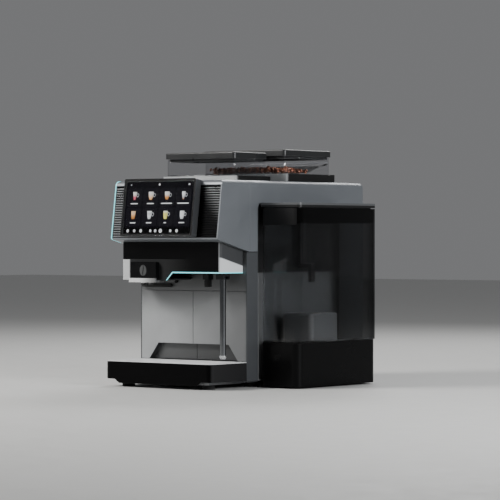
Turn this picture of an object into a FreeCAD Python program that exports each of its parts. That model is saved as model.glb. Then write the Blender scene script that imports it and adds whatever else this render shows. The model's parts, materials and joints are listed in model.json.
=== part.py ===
import FreeCAD, Part
import math
import os
from FreeCAD import Vector

# Countertop hot coffee vending machine with a side water tank and two top hoppers.
# Millimetres. While modelling, x = 0 is the middle of the body (right is +x), y = 0 is the back of the
# cup bay (rear is +y) and z = 0 is the counter. save() moves every piece so that the origin is the
# middle of the whole machine's footprint, at counter height.

# ---------------------------------------------------------------- driving dimensions
body_width = 300.0
body_back = 430.0
body_top = 446.0
panel_floor = 16.0
panel_wall = 2.5
seam = 0.5
shoulder_radius = 12.0

hood_lip_y = -100.0
hood_lip_z = 319.0
hood_crown_y = -83.0
hood_seam_y = 11.0
hood_under_z = 292.0
hood_lip_radius = 5.0
hood_rim = 3.0

rib_pitch = 5.2
rib_height = 2.8
rib_depth = 2.4
rib_front = 0.3
rib_chamfer = 0.6
fascia_backing = 2.0

screen_width = 198.0
screen_height = 122.0
screen_centre_x = -8.0
screen_base = 6.0
display_depth = 18.0
display_bezel = 1.5
glass_thickness = 2.0

head_half_width = 139.0
head_front_y = -78.0
head_low_z = 231.0
head_high_z = 246.5
head_step_x = -7.0
head_wall = 3.0
head_corner_radius = 10.0

light_width = 2.6
light_height = 2.6

spout_x = -66.0
spout_width = 72.0
spout_front_y = -90.0
spout_height = 35.5
spout_plate_z = 226.0
spout_plate_thickness = 4.4
spout_rail_width = 28.0
spout_rail_thickness = 6.0
spout_rail_top = 342.0

water_outlet_x = 80.0
water_outlet_y = -46.0
wand_x = 127.0
wand_y = -53.0
wand_radius = 6.5
wand_tip_gap = 7.5
wand_pivot_drop = 6.5
wand_wall = 1.2
wand_swing = 35.0
steam_tip_height = 8.0
steam_bore = 1.5

bay_panel_thickness = 3.0
bay_seam_z = 207.5
bay_floor_gap = 1.0
recess_height = 35.0
recess_top_half = 99.0
recess_low_half = 125.0
recess_depth = 14.0
grounds_bin_back = 160.0
grounds_bin_top = 168.0

tray_reach = 121.0
tray_floor_z = 16.5
tray_top_z = 54.5
tray_wall = 3.0
tray_corner_radius = 15.0
grid_thickness = 1.5
grid_columns = 7
grid_rows = 8
grid_slot = 30.0
grid_slot_height = 5.0
grid_slot_step = 38.0
grid_row_step = 13.0
grid_edge = 13.0
skirt_low_z = 8.0
skirt_half = 108.0

column_depth = 38.0
column_flange = 18.0
tank_bay_back = 333.0
tank_bay_top = 398.0
tank_bay_depth = 10.0
tank_bay_corner = 15.0

tank_gap = 2.0
tank_width = 106.0
tank_front = 44.0
tank_back = 328.0
tank_floor_z = 99.0
tank_rim_z = 386.0
tank_wall = 3.0
tank_corner_radius = 14.0
tank_lid_thickness = 9.5
tank_lid_overhang = 4.0
tank_lid_back = 320.0
tank_base_low_z = 3.0
tank_grip_low_z = 350.0
valve_y = 120.0
valve_radius = 12.0
filter_width = 80.0
filter_length = 100.0
filter_height = 58.0
filter_front_gap = 58.0
sensor_front_gap = 127.0
sensor_low_z = 226.0
lid_hinge_radius = 3.0
lid_hinge_half = 40.0
lid_hinge_back = 2.0

front_bin_left = -120.0
front_bin_right = 72.0
front_bin_front = 53.0
front_bin_back = 164.0
front_bin_lift = 12.0
front_bin_height = 38.0
rear_bin_left = -115.0
rear_bin_right = 112.0
rear_bin_front = 180.0
rear_bin_back = 347.0
rear_bin_lift = 18.0
rear_bin_height = 39.5
rear_bin_slope = 26.0
rear_neck_y = 235.0
bin_wall = 2.5
bin_lid_thickness = 13.5
bin_lid_lip = 3.0
frame_margin = 8.0
frame_side_extra = 5.0
bin_neck_radius = 20.0

base_low_z = 10.0
base_thickness = 3.0
tongue_half = 130.0
foot_radius = 14.0
foot_inset = 38.0
tray_foot_y = -84.0
front_foot_y = 60.0
tank_pad_radius = 12.0
clear = 0.4

frame_plate_x = 132.0
frame_plate = 2.0
frame_front = 165.0
frame_back = 420.0
frame_top_gap = 18.0
shelf_z = 238.0

hose_radius = 4.0
hose_hole_gap = 1.0
tank_line_z = 47.0
tank_line_x = 120.0
tank_line_y = 345.0
outlet_line_y = 172.0
outlet_line_z = 266.0
boiler_line_x = -6.0
steam_line_y = 150.0

coffee_boiler_x = -70.0
coffee_boiler_y = 215.0
coffee_boiler_radius = 34.0
coffee_boiler_length = 140.0
steam_boiler_x = 55.0
steam_boiler_y = 260.0
steam_boiler_radius = 46.0
steam_boiler_length = 165.0
boiler_foot = 12.0
boiler_port_radius = 8.0
boiler_port_length = 10.0

pump_x = -62.0
pump_y = 315.0
pump_lift = 32.0
pump_motor_radius = 26.0
pump_motor_length = 50.0
pump_head_radius = 15.0
pump_head_length = 30.0

motor_radius = 34.0
motor_height = 78.0
grinder_radius = 40.0
grinder_wall = 6.0
chamber_height = 60.0
grinder_top_gap = 13.0
chute_reach = 62.0
chute_half = 14.0
chute_wall = 3.0
chute_height = 28.0
burr_low_radius = 32.0
burr_high_radius = 14.0
burr_height = 26.0
burr_flutes = 12
spindle_radius = 6.0
spindle_gap = 0.05

brew_x = 64.0
brew_y = 90.0
brew_radius = 30.0
brew_wall = 6.0
brew_fit = 0.08
brew_half = 48.0
brew_rod_radius = 8.0
brew_cylinder_low = 76.0
brew_cylinder_height = 64.0
piston_low = 110.0
piston_height = 22.0
piston_rod = 126.0

inlet_x = -88.0
inlet_z = 62.0
inlet_width = 48.0
inlet_height = 28.0
inlet_depth = 20.0
switch_z = 112.0
switch_width = 22.0
switch_height = 30.0
screw_reach = 124.0
screw_levels = (40.0, 160.0, 280.0, 400.0)
screw_head_radius = 3.5
screw_shank_radius = 1.8
vent_rows = 12
vent_pitch = 12.0
vent_width = 76.0
vent_height = 4.0

# ---------------------------------------------------------------- derived places
half = body_width / 2.0
far = 1000.0
tank_left = half + tank_gap
tank_right = tank_left + tank_width
tank_lid_right = tank_right + tank_lid_overhang
middle_x = (tank_lid_right - half) / 2.0
middle_y = (body_back - tray_reach) / 2.0
front_rise = body_top - hood_lip_z
front_run = hood_crown_y - hood_lip_y
front_length = math.hypot(front_rise, front_run)
front_tilt = math.degrees(math.atan2(front_run, front_rise))
hood_under_slope = (hood_lip_z - hood_under_z) / (hood_seam_y - hood_lip_y)
grid_top_z = tray_top_z + grid_thickness
bay_floor_z = grid_top_z + bay_floor_gap
recess_top_z = bay_floor_z + recess_height
wand_tip_z = grid_top_z + wand_tip_gap
wand_pivot_z = head_high_z - wand_pivot_drop
front_bin_floor = body_top + front_bin_lift
front_bin_rim = front_bin_floor + front_bin_height
rear_bin_floor = body_top + rear_bin_lift
rear_bin_rim = rear_bin_floor + rear_bin_height
front_neck_x = (front_bin_left + front_bin_right) / 2.0
front_neck_y = (front_bin_front + front_bin_back) / 2.0
rear_neck_x = (rear_bin_left + rear_bin_right) / 2.0
frame_top = body_top - frame_top_gap
valve_x = (tank_left + tank_right) / 2.0
floor_z = base_low_z + 2 + base_thickness


# ---------------------------------------------------------------- helpers
def block(x0, x1, y0, y1, z0, z1):
    """Box between two corners."""
    return Part.makeBox(x1 - x0, y1 - y0, z1 - z0, Vector(x0, y0, z0))


def drum(x, y, z, radius, length, axis=(0, 0, 1)):
    """Cylinder that starts at a point and runs along an axis."""
    return Part.makeCylinder(radius, length, Vector(x, y, z), Vector(*axis))


def ring(x, y, z, outer, inner, length, axis=(0, 0, 1)):
    """Tube that starts at a point and runs along an axis."""
    return drum(x, y, z, outer, length, axis).cut(drum(x, y, z, inner, length, axis))


def join(shapes):
    """One solid out of several that share faces or overlap."""
    first = shapes[0]
    return first.fuse(shapes[1:]).removeSplitter() if len(shapes) > 1 else first


def corner_wire(points, radii, to_space):
    """Closed outline whose corners are rounded; to_space turns a flat point into a 3-D one."""
    edges = []
    starts = []
    ends = []
    mids = []
    count = len(points)
    for i in range(count):
        px, py = points[i]
        ax, ay = points[i - 1]
        bx, by = points[(i + 1) % count]
        la = math.hypot(ax - px, ay - py)
        lb = math.hypot(bx - px, by - py)
        ua = ((ax - px) / la, (ay - py) / la)
        ub = ((bx - px) / lb, (by - py) / lb)
        radius = radii[i]
        if radius <= 0:
            starts.append((px, py))
            ends.append((px, py))
            mids.append(None)
            continue
        turn = math.acos(ua[0] * ub[0] + ua[1] * ub[1])
        back = radius / math.tan(turn / 2.0)
        starts.append((px + ua[0] * back, py + ua[1] * back))
        ends.append((px + ub[0] * back, py + ub[1] * back))
        bisect = (ua[0] + ub[0], ua[1] + ub[1])
        size = math.hypot(*bisect)
        reach = radius / math.sin(turn / 2.0) - radius
        mids.append((px + bisect[0] / size * reach, py + bisect[1] / size * reach))
    for i in range(count):
        if mids[i] is not None:
            arc = Part.Arc(to_space(*starts[i]), to_space(*mids[i]), to_space(*ends[i]))
            edges.append(arc.toShape())
        follow = starts[(i + 1) % count]
        if math.hypot(follow[0] - ends[i][0], follow[1] - ends[i][1]) > 1e-6:
            edges.append(Part.LineSegment(to_space(*ends[i]), to_space(*follow)).toShape())
    return Part.Wire(edges)


def side_prism(points, x0, x1, radii=None):
    """Outline in the (y, z) plane, carried from x0 to x1."""
    radii = radii or [0] * len(points)
    wire = corner_wire(points, radii, lambda y, z: Vector(x0, y, z))
    return Part.Face(wire).extrude(Vector(x1 - x0, 0, 0))


def front_prism(points, y0, y1, radii=None):
    """Outline in the (x, z) plane, carried from y0 to y1."""
    radii = radii or [0] * len(points)
    wire = corner_wire(points, radii, lambda x, z: Vector(x, y0, z))
    return Part.Face(wire).extrude(Vector(0, y1 - y0, 0))


def plan_prism(points, z0, z1, radii=None):
    """Outline in the (x, y) plane, carried from z0 to z1."""
    radii = radii or [0] * len(points)
    wire = corner_wire(points, radii, lambda x, y: Vector(x, y, z0))
    return Part.Face(wire).extrude(Vector(0, 0, z1 - z0))


def rectangle(x0, x1, y0, y1):
    """Corners of a rectangle: front left, front right, back right, back left."""
    return [(x0, y0), (x1, y0), (x1, y1), (x0, y1)]


def post(x0, x1, y0, y1, z0, z1, radius):
    """Upright box with its four vertical edges rounded."""
    return plan_prism(rectangle(x0, x1, y0, y1), z0, z1, [radius] * 4)


def lean(shape):
    """Tip a piece drawn upright (x, depth, height) onto the sloping front of the hood."""
    tipped = shape.copy()
    tipped.rotate(Vector(0, 0, 0), Vector(1, 0, 0), -front_tilt)
    tipped.translate(Vector(0, hood_lip_y, hood_lip_z))
    return tipped


def hose(points, bend, radius):
    """Round hose along straight runs joined by tangent arcs."""
    spots = [Vector(*p) for p in points]
    edges = []
    here = spots[0]
    for i in range(1, len(spots) - 1):
        before = (spots[i - 1] - spots[i]).normalize()
        after = (spots[i + 1] - spots[i]).normalize()
        turn = before.getAngle(after)
        back = bend / math.tan(turn / 2.0)
        start = spots[i] + before * back
        end = spots[i] + after * back
        middle = spots[i] + (before + after).normalize() * (bend / math.sin(turn / 2.0) - bend)
        edges.append(Part.LineSegment(here, start).toShape())
        edges.append(Part.Arc(start, middle, end).toShape())
        here = end
    edges.append(Part.LineSegment(here, spots[-1]).toShape())
    path = Part.Wire(edges)
    section = Part.Wire(Part.makeCircle(radius, spots[0], spots[1] - spots[0]))
    return path.makePipeShell([section], True, False)


def save(node, *solids):
    """Write one named piece, moved into the machine's own frame."""
    placed = []
    for solid in solids:
        for piece in solid.Solids:
            moved = piece.copy()
            moved.translate(Vector(-middle_x, -middle_y, 0))
            placed.append(moved)
    shape = placed[0] if len(placed) == 1 else Part.makeCompound(placed)
    shape.exportStep("parts/" + node + ".step")


os.makedirs("parts", exist_ok=True)


# ---------------------------------------------------------------- rear casing
def casing_block(inset):
    """Solid of the rear casing, set in from the outside by a given amount."""
    low = panel_floor - (1.0 if inset else 0.0)
    front = hood_seam_y - (1.0 if inset else 0.0)
    solid = block(-half + inset, half - inset, front, body_back - inset, low, body_top - inset)
    rear = body_back - inset
    top = body_top - inset
    side = half - inset
    picked = []
    for edge in solid.Edges:
        box = edge.BoundBox
        on_top = box.ZMin > top - 0.1
        on_rear = box.YMin > rear - 0.1
        on_side = box.XLength < 0.1 and abs(abs(box.XMin) - side) < 0.1
        if (on_top and on_side) or (on_top and on_rear) or (on_rear and on_side):
            picked.append(edge)
    return solid.makeFillet(shoulder_radius - inset, picked)


casing = casing_block(0.0).cut(casing_block(panel_wall))
flat_half = half - shoulder_radius - 2.0
top_split_z = body_top - shoulder_radius - 2.0

side_left = casing.common(block(-far, -flat_half - seam / 2, -far, far, 0, far))
side_left = side_left.cut(block(-far, 0, -far, column_depth + seam, 0, hood_under_z + seam))
save("left_side_panel", side_left)

tank_bay = side_prism(rectangle(column_depth, tank_bay_back, -10, tank_bay_top),
                      half - shoulder_radius, half + 1, [0, 0, tank_bay_corner, tank_bay_corner])
side_right = casing.common(block(flat_half + seam / 2, far, -far, far, 0, far))
side_right = side_right.cut(block(0, far, -far, column_depth + seam, 0, hood_under_z + seam)).cut(tank_bay)
save("right_side_panel", side_right)

top_cover = casing.common(block(-flat_half, flat_half, -far, far, top_split_z + seam, far))
for hole_x, hole_y in ((front_neck_x, front_neck_y), (rear_neck_x, rear_neck_y)):
    top_cover = top_cover.cut(drum(hole_x, hole_y, body_top - 10, bin_neck_radius + 1, 20))
save("top_panel", top_cover)

screw_spots = [(side * screw_reach, level) for side in (-1, 1) for level in screw_levels]
back_cover = casing.common(block(-flat_half, flat_half, body_back - panel_wall - 0.1, far,
                                 panel_floor, top_split_z))
vent_low_z = 262.0
vent_x = 60.0
for row in range(vent_rows):
    slot_z = vent_low_z + row * vent_pitch
    for slot_x in (-vent_x, vent_x):
        vent = rectangle(slot_x - vent_width / 2, slot_x + vent_width / 2, slot_z, slot_z + vent_height)
        back_cover = back_cover.cut(
            front_prism(vent, body_back - 5, body_back + 1, [vent_height / 2 - 0.1] * 4))


def rear_block(width, height, z, y0, y1, gap=0.0):
    """Block behind the rear panel, centred on the inlet at a given height, smaller by a gap all round."""
    return block(inlet_x - width / 2 + gap, inlet_x + width / 2 - gap, y0, y1,
                 z - height / 2 + gap, z + height / 2 - gap)


back_cover = back_cover.cut(rear_block(inlet_width, inlet_height, inlet_z, body_back - 5, far))
back_cover = back_cover.cut(rear_block(switch_width, switch_height, switch_z, body_back - 5, far))
for screw_x, screw_z in screw_spots:
    back_cover = back_cover.cut(drum(screw_x, body_back - 5, screw_z, screw_head_radius + 0.3, 10, (0, 1, 0)))
save("rear_panel", back_cover)


# ---------------------------------------------------------------- front columns
def column(sign):
    """Dark upright beside the cup bay: an outer wall with a flange behind the bay panels."""
    wall_x = sign * (half - panel_wall)
    flange_x = sign * (half - column_flange)
    flange_y = bay_panel_thickness + 0.6
    outer = [(sign * half, 0), (sign * half, column_depth), (wall_x, column_depth),
             (wall_x, flange_y + panel_wall), (flange_x, flange_y + panel_wall), (flange_x, flange_y),
             (wall_x, flange_y), (wall_x, 0)]
    return plan_prism(outer, panel_floor - 1.0, hood_under_z - seam)


save("left_column", column(-1))
save("right_column", column(1))

# ---------------------------------------------------------------- head hood
hood_points = [(hood_lip_y, hood_lip_z), (hood_seam_y - seam, hood_under_z),
               (hood_seam_y - seam, body_top), (hood_crown_y, body_top)]
hood_radii = [hood_lip_radius, 0, 0, shoulder_radius]


def hood_outline(inset, back_extra):
    """Side outline of the hood, set in by an equal amount along its underside, front and top."""
    under = inset * math.hypot(1, hood_under_slope)
    lean_in = inset / math.cos(math.radians(front_tilt))
    low_y = hood_lip_y + lean_in + under * front_run / front_rise
    points = [(low_y, hood_lip_z + under - (low_y - hood_lip_y) * hood_under_slope),
              (hood_seam_y + back_extra, hood_under_z + under - back_extra * hood_under_slope),
              (hood_seam_y + back_extra, body_top - inset),
              (hood_crown_y + lean_in - inset * front_run / front_rise, body_top - inset)]
    return points


hood = side_prism(hood_points, -half, half, hood_radii)
hood_room = side_prism(hood_outline(panel_wall, 2.0), -half + panel_wall, half - panel_wall,
                       [hood_lip_radius - panel_wall, 0, 0, shoulder_radius - panel_wall])
hood = hood.cut(hood_room)
for sign in (-1, 1):
    edge_x = sign * (half - shoulder_radius)
    edge_z = body_top - shoulder_radius
    outside_x = sign * (half + 5)
    square = block(min(edge_x, outside_x), max(edge_x, outside_x), -200, 20, edge_z, body_top + 5)
    hood = hood.cut(square.cut(drum(edge_x, -201, edge_z, shoulder_radius, 230, (0, 1, 0))))
    shoulder = ring(edge_x, -200, edge_z, shoulder_radius, shoulder_radius - panel_wall, 230, (0, 1, 0))
    inner_side = side_prism(hood_outline(0.0, -seam), -half, half, hood_radii)
    hood = hood.fuse(shoulder.common(square).common(inner_side))
face_low = hood_rim + seam
face_high = front_length - shoulder_radius + 1.0
face_opening = lean(block(-half + hood_rim, half - hood_rim, -10, 9, face_low, face_high))
hood = hood.cut(face_opening)

light_outer = side_prism(hood_points, -half, -half + light_width, hood_radii)
light_inner = side_prism(hood_outline(light_height, 0.0), -half - 1, -half + light_width + 1,
                         [hood_lip_radius - light_height, 0, 0, shoulder_radius - light_height])
light_reach = block(-half - 1, -half + light_width + 1, hood_lip_y - 5, -68, 0, 400).fuse(
    block(-half - 1, -half + light_width + 1, hood_lip_y - 5, -52, 400, far))
hood = hood.cut(side_prism(hood_points, -half - 1, -half + light_width + 0.2, hood_radii).common(
    light_reach).cut(side_prism(hood_outline(light_height + 0.2, 0.0), -half - 2, -half + 5,
                                [hood_lip_radius - light_height, 0, 0, shoulder_radius - light_height])))
rail_gap = 1.5
rail_y = spout_front_y + 19.5
rail_left = spout_x - spout_rail_width / 2
rail_right = spout_x + spout_rail_width / 2
rail_hole = block(rail_left - rail_gap, rail_right + rail_gap, rail_y - rail_gap - 1,
                  rail_y + spout_rail_thickness + rail_gap + 1, spout_plate_z, hood_lip_z + 11)
hood = hood.cut(rail_hole)
save("head_hood", hood.removeSplitter())
save("edge_light", light_outer.cut(light_inner).common(light_reach))

# ---------------------------------------------------------------- ribbed fascia
fascia_low = face_low + clear
fascia_high = face_high - clear
rib_count = int((fascia_high - fascia_low - 1.5) / rib_pitch)
rib_points = [(fascia_backing + rib_depth, fascia_low), (fascia_backing + rib_depth, fascia_high),
              (rib_depth, fascia_high)]
for rib in reversed(range(rib_count)):
    base = fascia_low + 1.5 + rib * rib_pitch
    rib_points += [
        (rib_depth, base + rib_height), (rib_chamfer + rib_front, base + rib_height),
        (rib_front, base + rib_height - rib_chamfer), (rib_front, base + rib_chamfer),
        (rib_chamfer + rib_front, base), (rib_depth, base)]
rib_points.append((rib_depth, fascia_low))
fascia = side_prism(rib_points, -half + hood_rim + clear, half - hood_rim - clear)
save("ribbed_fascia", lean(fascia))

# ---------------------------------------------------------------- touch display
screen_left = screen_centre_x - screen_width / 2
screen_right = screen_centre_x + screen_width / 2
screen_top = screen_base + screen_height
case_outline = rectangle(screen_left - display_bezel, screen_right + display_bezel,
                         screen_base - display_bezel, screen_top + display_bezel)
display_case = front_prism(case_outline, -display_depth, -0.2, [4] * 4)
glass_gap = 0.2
glass_stand = 0.4
lcd_border = 4.5
lcd_depth = 6.0
glass_seat = front_prism(
    rectangle(screen_left - glass_gap, screen_right + glass_gap,
              screen_base - glass_gap, screen_top + glass_gap),
    -display_depth - 1, -display_depth + glass_thickness, [3] * 4)
panel_seat = block(screen_left + lcd_border - seam, screen_right - lcd_border + seam,
                   -display_depth, -display_depth + lcd_depth,
                   screen_base + lcd_border - seam, screen_top - lcd_border + seam)
save("display_housing", lean(display_case.cut(glass_seat).cut(panel_seat)))
save("display_glass", lean(front_prism(
    rectangle(screen_left, screen_right, screen_base, screen_top),
    -display_depth - glass_stand, -display_depth + glass_thickness - glass_gap / 2, [3] * 4)))
save("display_screen", lean(block(
    screen_left + lcd_border, screen_right - lcd_border,
    -display_depth + glass_thickness + glass_gap / 2, -display_depth + lcd_depth - glass_gap,
    screen_base + lcd_border, screen_top - lcd_border)))


# ---------------------------------------------------------------- dispense head
def under_hood(y, gap):
    """Height of the hood's sloping underside at a given depth, less a gap."""
    return hood_lip_z - (y - hood_lip_y) * hood_under_slope - gap


def head_solid(inset, top_gap):
    """Dispense head: a box under the hood whose bottom steps up on the right."""
    side = head_half_width - inset
    front = head_front_y + inset
    back = -clear + (1 if inset else 0)
    plan = plan_prism(rectangle(-side, side, front, back), head_low_z + inset, 330,
                      [head_corner_radius - inset, head_corner_radius - inset, 0, 0])
    step = head_high_z - head_low_z
    bite = front_prism([(head_step_x + inset, head_low_z + inset - 1),
                        (head_step_x + inset, head_low_z + inset),
                        (head_step_x + inset + step, head_high_z + inset), (half, head_high_z + inset),
                        (half, head_low_z + inset - 1)], -200, 200)
    roof = side_prism([(-200, under_hood(-200, top_gap)), (50, under_hood(50, top_gap)),
                       (50, far), (-200, far)], -half, half)
    return plan.cut(bite).cut(roof)


head_full = head_solid(0.0, 0.3)
head = head_full.cut(head_solid(head_wall, -5.0))
step_run = head_high_z - head_low_z
light_path = [(head_step_x - 1.0, head_low_z - 3), (head_step_x - 1.0, head_low_z),
              (head_step_x + step_run - 1.0, head_high_z), (half, head_high_z),
              (half, head_high_z + light_height),
              (head_step_x + step_run - 2.1, head_high_z + light_height),
              (head_step_x - light_height - 1.5, head_low_z),
              (head_step_x - light_height - 1.5, head_low_z - 3)]
light_slab = front_prism(light_path, head_front_y - 1, 1)
light_rim = head_full.cut(post(-half - 20, head_half_width - light_width, head_front_y + light_width, 40,
                               0, 400, head_corner_radius - light_width))
dispense_light = light_slab.common(light_rim)
head = head.cut(light_slab.common(head_full.cut(
    post(-half - 20, head_half_width - light_width - 0.2, head_front_y + light_width + 0.2, 40, 0, 400,
         head_corner_radius - light_width))))
head = head.cut(rail_hole)
for line_x, line_y in ((water_outlet_x, water_outlet_y), (wand_x, wand_y)):
    head = head.cut(drum(line_x, line_y, head_high_z - 5, hose_radius + 0.5, 20))
save("dispense_head", head)
save("dispense_light", dispense_light)

# ---------------------------------------------------------------- height-adjustable coffee spout
spout_left = spout_x - spout_width / 2
spout_right = spout_x + spout_width / 2
plate_top = spout_plate_z + spout_plate_thickness
plate = block(spout_left - 3, spout_right + 1, spout_front_y - 2, spout_front_y + 28,
              spout_plate_z, plate_top)
upstand = block(spout_left - 3, spout_right + 1, spout_front_y - 2, spout_front_y + 2,
                plate_top, plate_top + 4.6)
rail = block(rail_left, rail_right, rail_y, rail_y + spout_rail_thickness, plate_top, spout_rail_top)
nozzle_y = spout_front_y + 14
carriage_parts = [plate, upstand, rail]
for offset in (-11.0, 11.0):
    carriage_parts.append(drum(spout_x + offset, nozzle_y, spout_plate_z - 6, 5.5, 6.0))
carriage = join(carriage_parts)
for offset in (-11.0, 11.0):
    carriage = carriage.cut(drum(spout_x + offset, nozzle_y, spout_plate_z - 10, 3.0, 30))
save("spout_carriage", carriage)
cover_low = plate_top + 4.6
cover = front_prism(rectangle(spout_left, spout_right, cover_low, cover_low + spout_height),
                    spout_front_y, head_front_y - clear, [2] * 4)
cover = cover.cut(block(spout_left + 2, spout_right - 2, spout_front_y + 2, head_front_y,
                        cover_low + 2, cover_low + spout_height - 2))
save("spout_cover", cover)

# ---------------------------------------------------------------- hot-water outlet and steam wand
outlet_collar = post(water_outlet_x - 9, water_outlet_x + 9, water_outlet_y - 9, water_outlet_y + 9,
                     233.0, head_high_z, 2.5)
outlet_tip = drum(water_outlet_x, water_outlet_y, 217.0, 8.0, 16.0)
outlet = join([outlet_collar, outlet_tip]).cut(drum(water_outlet_x, water_outlet_y, 210.0, 3.5, 60))
for turn in range(12):
    angle = math.radians(turn * 30.0)
    outlet = outlet.cut(drum(water_outlet_x + 8.6 * math.cos(angle), water_outlet_y + 8.6 * math.sin(angle),
                             219.0, 1.3, 12))
save("hot_water_outlet", outlet)

socket_low = 233.5
socket = block(wand_x - 10.5, wand_x + 10.5, wand_y - 11, wand_y + 11, socket_low, head_high_z)
slot_half = wand_radius + 0.9
hollow_radius = wand_radius / math.cos(math.radians(wand_swing)) + clear
channel = block(wand_x - slot_half, wand_x + 30, wand_y - slot_half, wand_y + slot_half, 200, wand_pivot_z)
hollow = drum(wand_x, wand_y - slot_half, wand_pivot_z, hollow_radius, 2 * slot_half, (0, 1, 0))
socket = socket.cut(channel).cut(hollow)
save("steam_socket", socket)
wand = drum(wand_x, wand_y, wand_tip_z + steam_tip_height, wand_radius,
            wand_pivot_z - wand_tip_z - steam_tip_height)
knuckle = drum(wand_x, wand_y - wand_radius - 0.5, wand_pivot_z, wand_radius - 0.3,
               2 * wand_radius + 1.0, (0, 1, 0))
wand = join([wand, knuckle]).cut(drum(wand_x, wand_y, wand_tip_z, wand_radius - wand_wall,
                                      wand_pivot_z - wand_tip_z - wand_radius))
save("steam_wand", wand)
tip = Part.makeCone(5.0, wand_radius + 1.0, 4.0, Vector(wand_x, wand_y, wand_tip_z))
tip = join([tip, drum(wand_x, wand_y, wand_tip_z + 4, wand_radius + 1.0, steam_tip_height - 4)])
tip = tip.cut(drum(wand_x, wand_y, wand_tip_z - 1, steam_bore, 12))
save("steam_tip", tip)

# ---------------------------------------------------------------- cup bay
panel_half = half - 2.9
upper_panel = block(-panel_half, panel_half, 0, bay_panel_thickness,
                    bay_seam_z + seam / 2, under_hood(3, 1.0))
for line_x in (coffee_boiler_x, wand_x):
    upper_panel = upper_panel.cut(drum(line_x, -5, outlet_line_z, hose_radius + hose_hole_gap, 20, (0, 1, 0)))
save("bay_upper_panel", upper_panel)
save("cup_sensor", drum(-46.0, -4.0, 227.0, 3.2, 4.0, (0, 1, 0)))
edge_bar = front_prism(rectangle(-140, -57, 214.5, 221.5), -8.0, 0.0, [3.4] * 4)
save("drip_edge", edge_bar)


def bay_front(x0, x1):
    """Lower bay panel with its half of the shared finger recess."""
    plate = block(x0, x1, 0, bay_panel_thickness, bay_floor_z, bay_seam_z - seam / 2)
    slope = (recess_low_half - recess_top_half) / (recess_top_z - bay_floor_z)
    low = recess_low_half
    top = recess_top_half
    wall = panel_wall
    room = front_prism([(-low - slope, bay_floor_z - 1), (low + slope, bay_floor_z - 1),
                        (top, recess_top_z), (-top, recess_top_z)], -1, recess_depth)
    pan = front_prism([(-low - wall, bay_floor_z), (low + wall, bay_floor_z),
                       (top + wall, recess_top_z + wall), (-top - wall, recess_top_z + wall)],
                      bay_panel_thickness, recess_depth + wall)
    pan = pan.common(block(x0, x1, 0, 50, 0, 400))
    return plate.fuse(pan).cut(room).removeSplitter()


drawer_front = bay_front(-panel_half, -clear)
service_front = bay_front(clear, panel_half)
save("drawer_front", drawer_front)
save("service_cover", service_front)

bin_front_y = recess_depth + panel_wall
bin_left = -half + column_flange + 2.0
grounds_bin = post(bin_left, -8, bin_front_y, grounds_bin_back, bay_floor_z + 1, grounds_bin_top, 8)
grounds_bin = grounds_bin.cut(post(bin_left + 2.5, -10.5, bin_front_y + 2.5, grounds_bin_back - 2.5,
                                   bay_floor_z + 3.5, grounds_bin_top + 5, 6))
save("grounds_bin", grounds_bin)


# ---------------------------------------------------------------- drip tray
def tray_plan(inset):
    """Plan outline of the tray: square at the bay, rounded at the front corners."""
    side = half - inset
    return rectangle(-side, side, -tray_reach + inset, -0.6)


def tray_prism(inset, z0, z1):
    """Upright solid on the tray's plan outline."""
    radius = tray_corner_radius - inset
    return plan_prism(tray_plan(inset), z0, z1, [radius, radius, 0, 0])


open_back = block(-half + tray_wall, half - tray_wall, -5, 5, 0, tray_top_z + 20)
surround = tray_prism(0.0, tray_floor_z, tray_top_z).cut(
    tray_prism(tray_wall, tray_floor_z - 1, tray_top_z + 1).fuse(open_back))
skirt = front_prism([(-skirt_half, skirt_low_z), (skirt_half, skirt_low_z),
                     (skirt_half + 14, tray_floor_z + 1), (-skirt_half - 14, tray_floor_z + 1)],
                    -tray_reach, -tray_reach + tray_wall)
save("tray_surround", join([surround, skirt]))
basin_gap = tray_wall + 0.3
basin = tray_prism(basin_gap, tray_floor_z, tray_top_z - 0.3)
basin = basin.cut(tray_prism(basin_gap + tray_wall, tray_floor_z + tray_wall, tray_top_z + 5).common(
    block(-far, far, -far, -0.6 - tray_wall, -far, far)))
save("drip_basin", basin)
grid = tray_prism(0.5, tray_top_z, grid_top_z)
for column_index in range(grid_columns):
    for row in range(grid_rows):
        slot_x = (column_index - (grid_columns - 1) / 2) * grid_slot_step
        slot_y = -tray_reach + grid_edge + row * grid_row_step
        slot = rectangle(slot_x - grid_slot / 2, slot_x + grid_slot / 2, slot_y, slot_y + grid_slot_height)
        grid = grid.cut(plan_prism(slot, tray_top_z - 5, grid_top_z + 5, [grid_slot_height / 2 - 0.1] * 4))
save("drip_grid", grid)

# ---------------------------------------------------------------- base, feet and inner frame
pan = block(-half + 6, half - 6, 8, body_back - 6, base_low_z + 2, base_low_z + 2 + base_thickness)
tongue = block(-tongue_half, tongue_half, -104, 8, base_low_z, tray_floor_z - 0.5)
pan_front = block(-tongue_half, tongue_half, 8, 20, base_low_z, base_low_z + 2 + base_thickness)
tray_stop = block(-tongue_half, tongue_half, 0.4, 3.4, base_low_z, bay_floor_z - 0.8)
save("base_pan", join([pan, tongue, pan_front, tray_stop]))
feet = []
for foot_x in (-half + foot_inset, half - foot_inset):
    feet.append(drum(foot_x, tray_foot_y, 0, foot_radius, base_low_z))
    for foot_y in (front_foot_y, body_back - 40):
        feet.append(drum(foot_x, foot_y, 0, foot_radius, base_low_z + 2))
for foot_y in (tank_front + 31, tank_back - 33):
    feet.append(drum(valve_x + 1, foot_y, 0, tank_pad_radius, tank_base_low_z))
save("rubber_feet", *feet)

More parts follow.
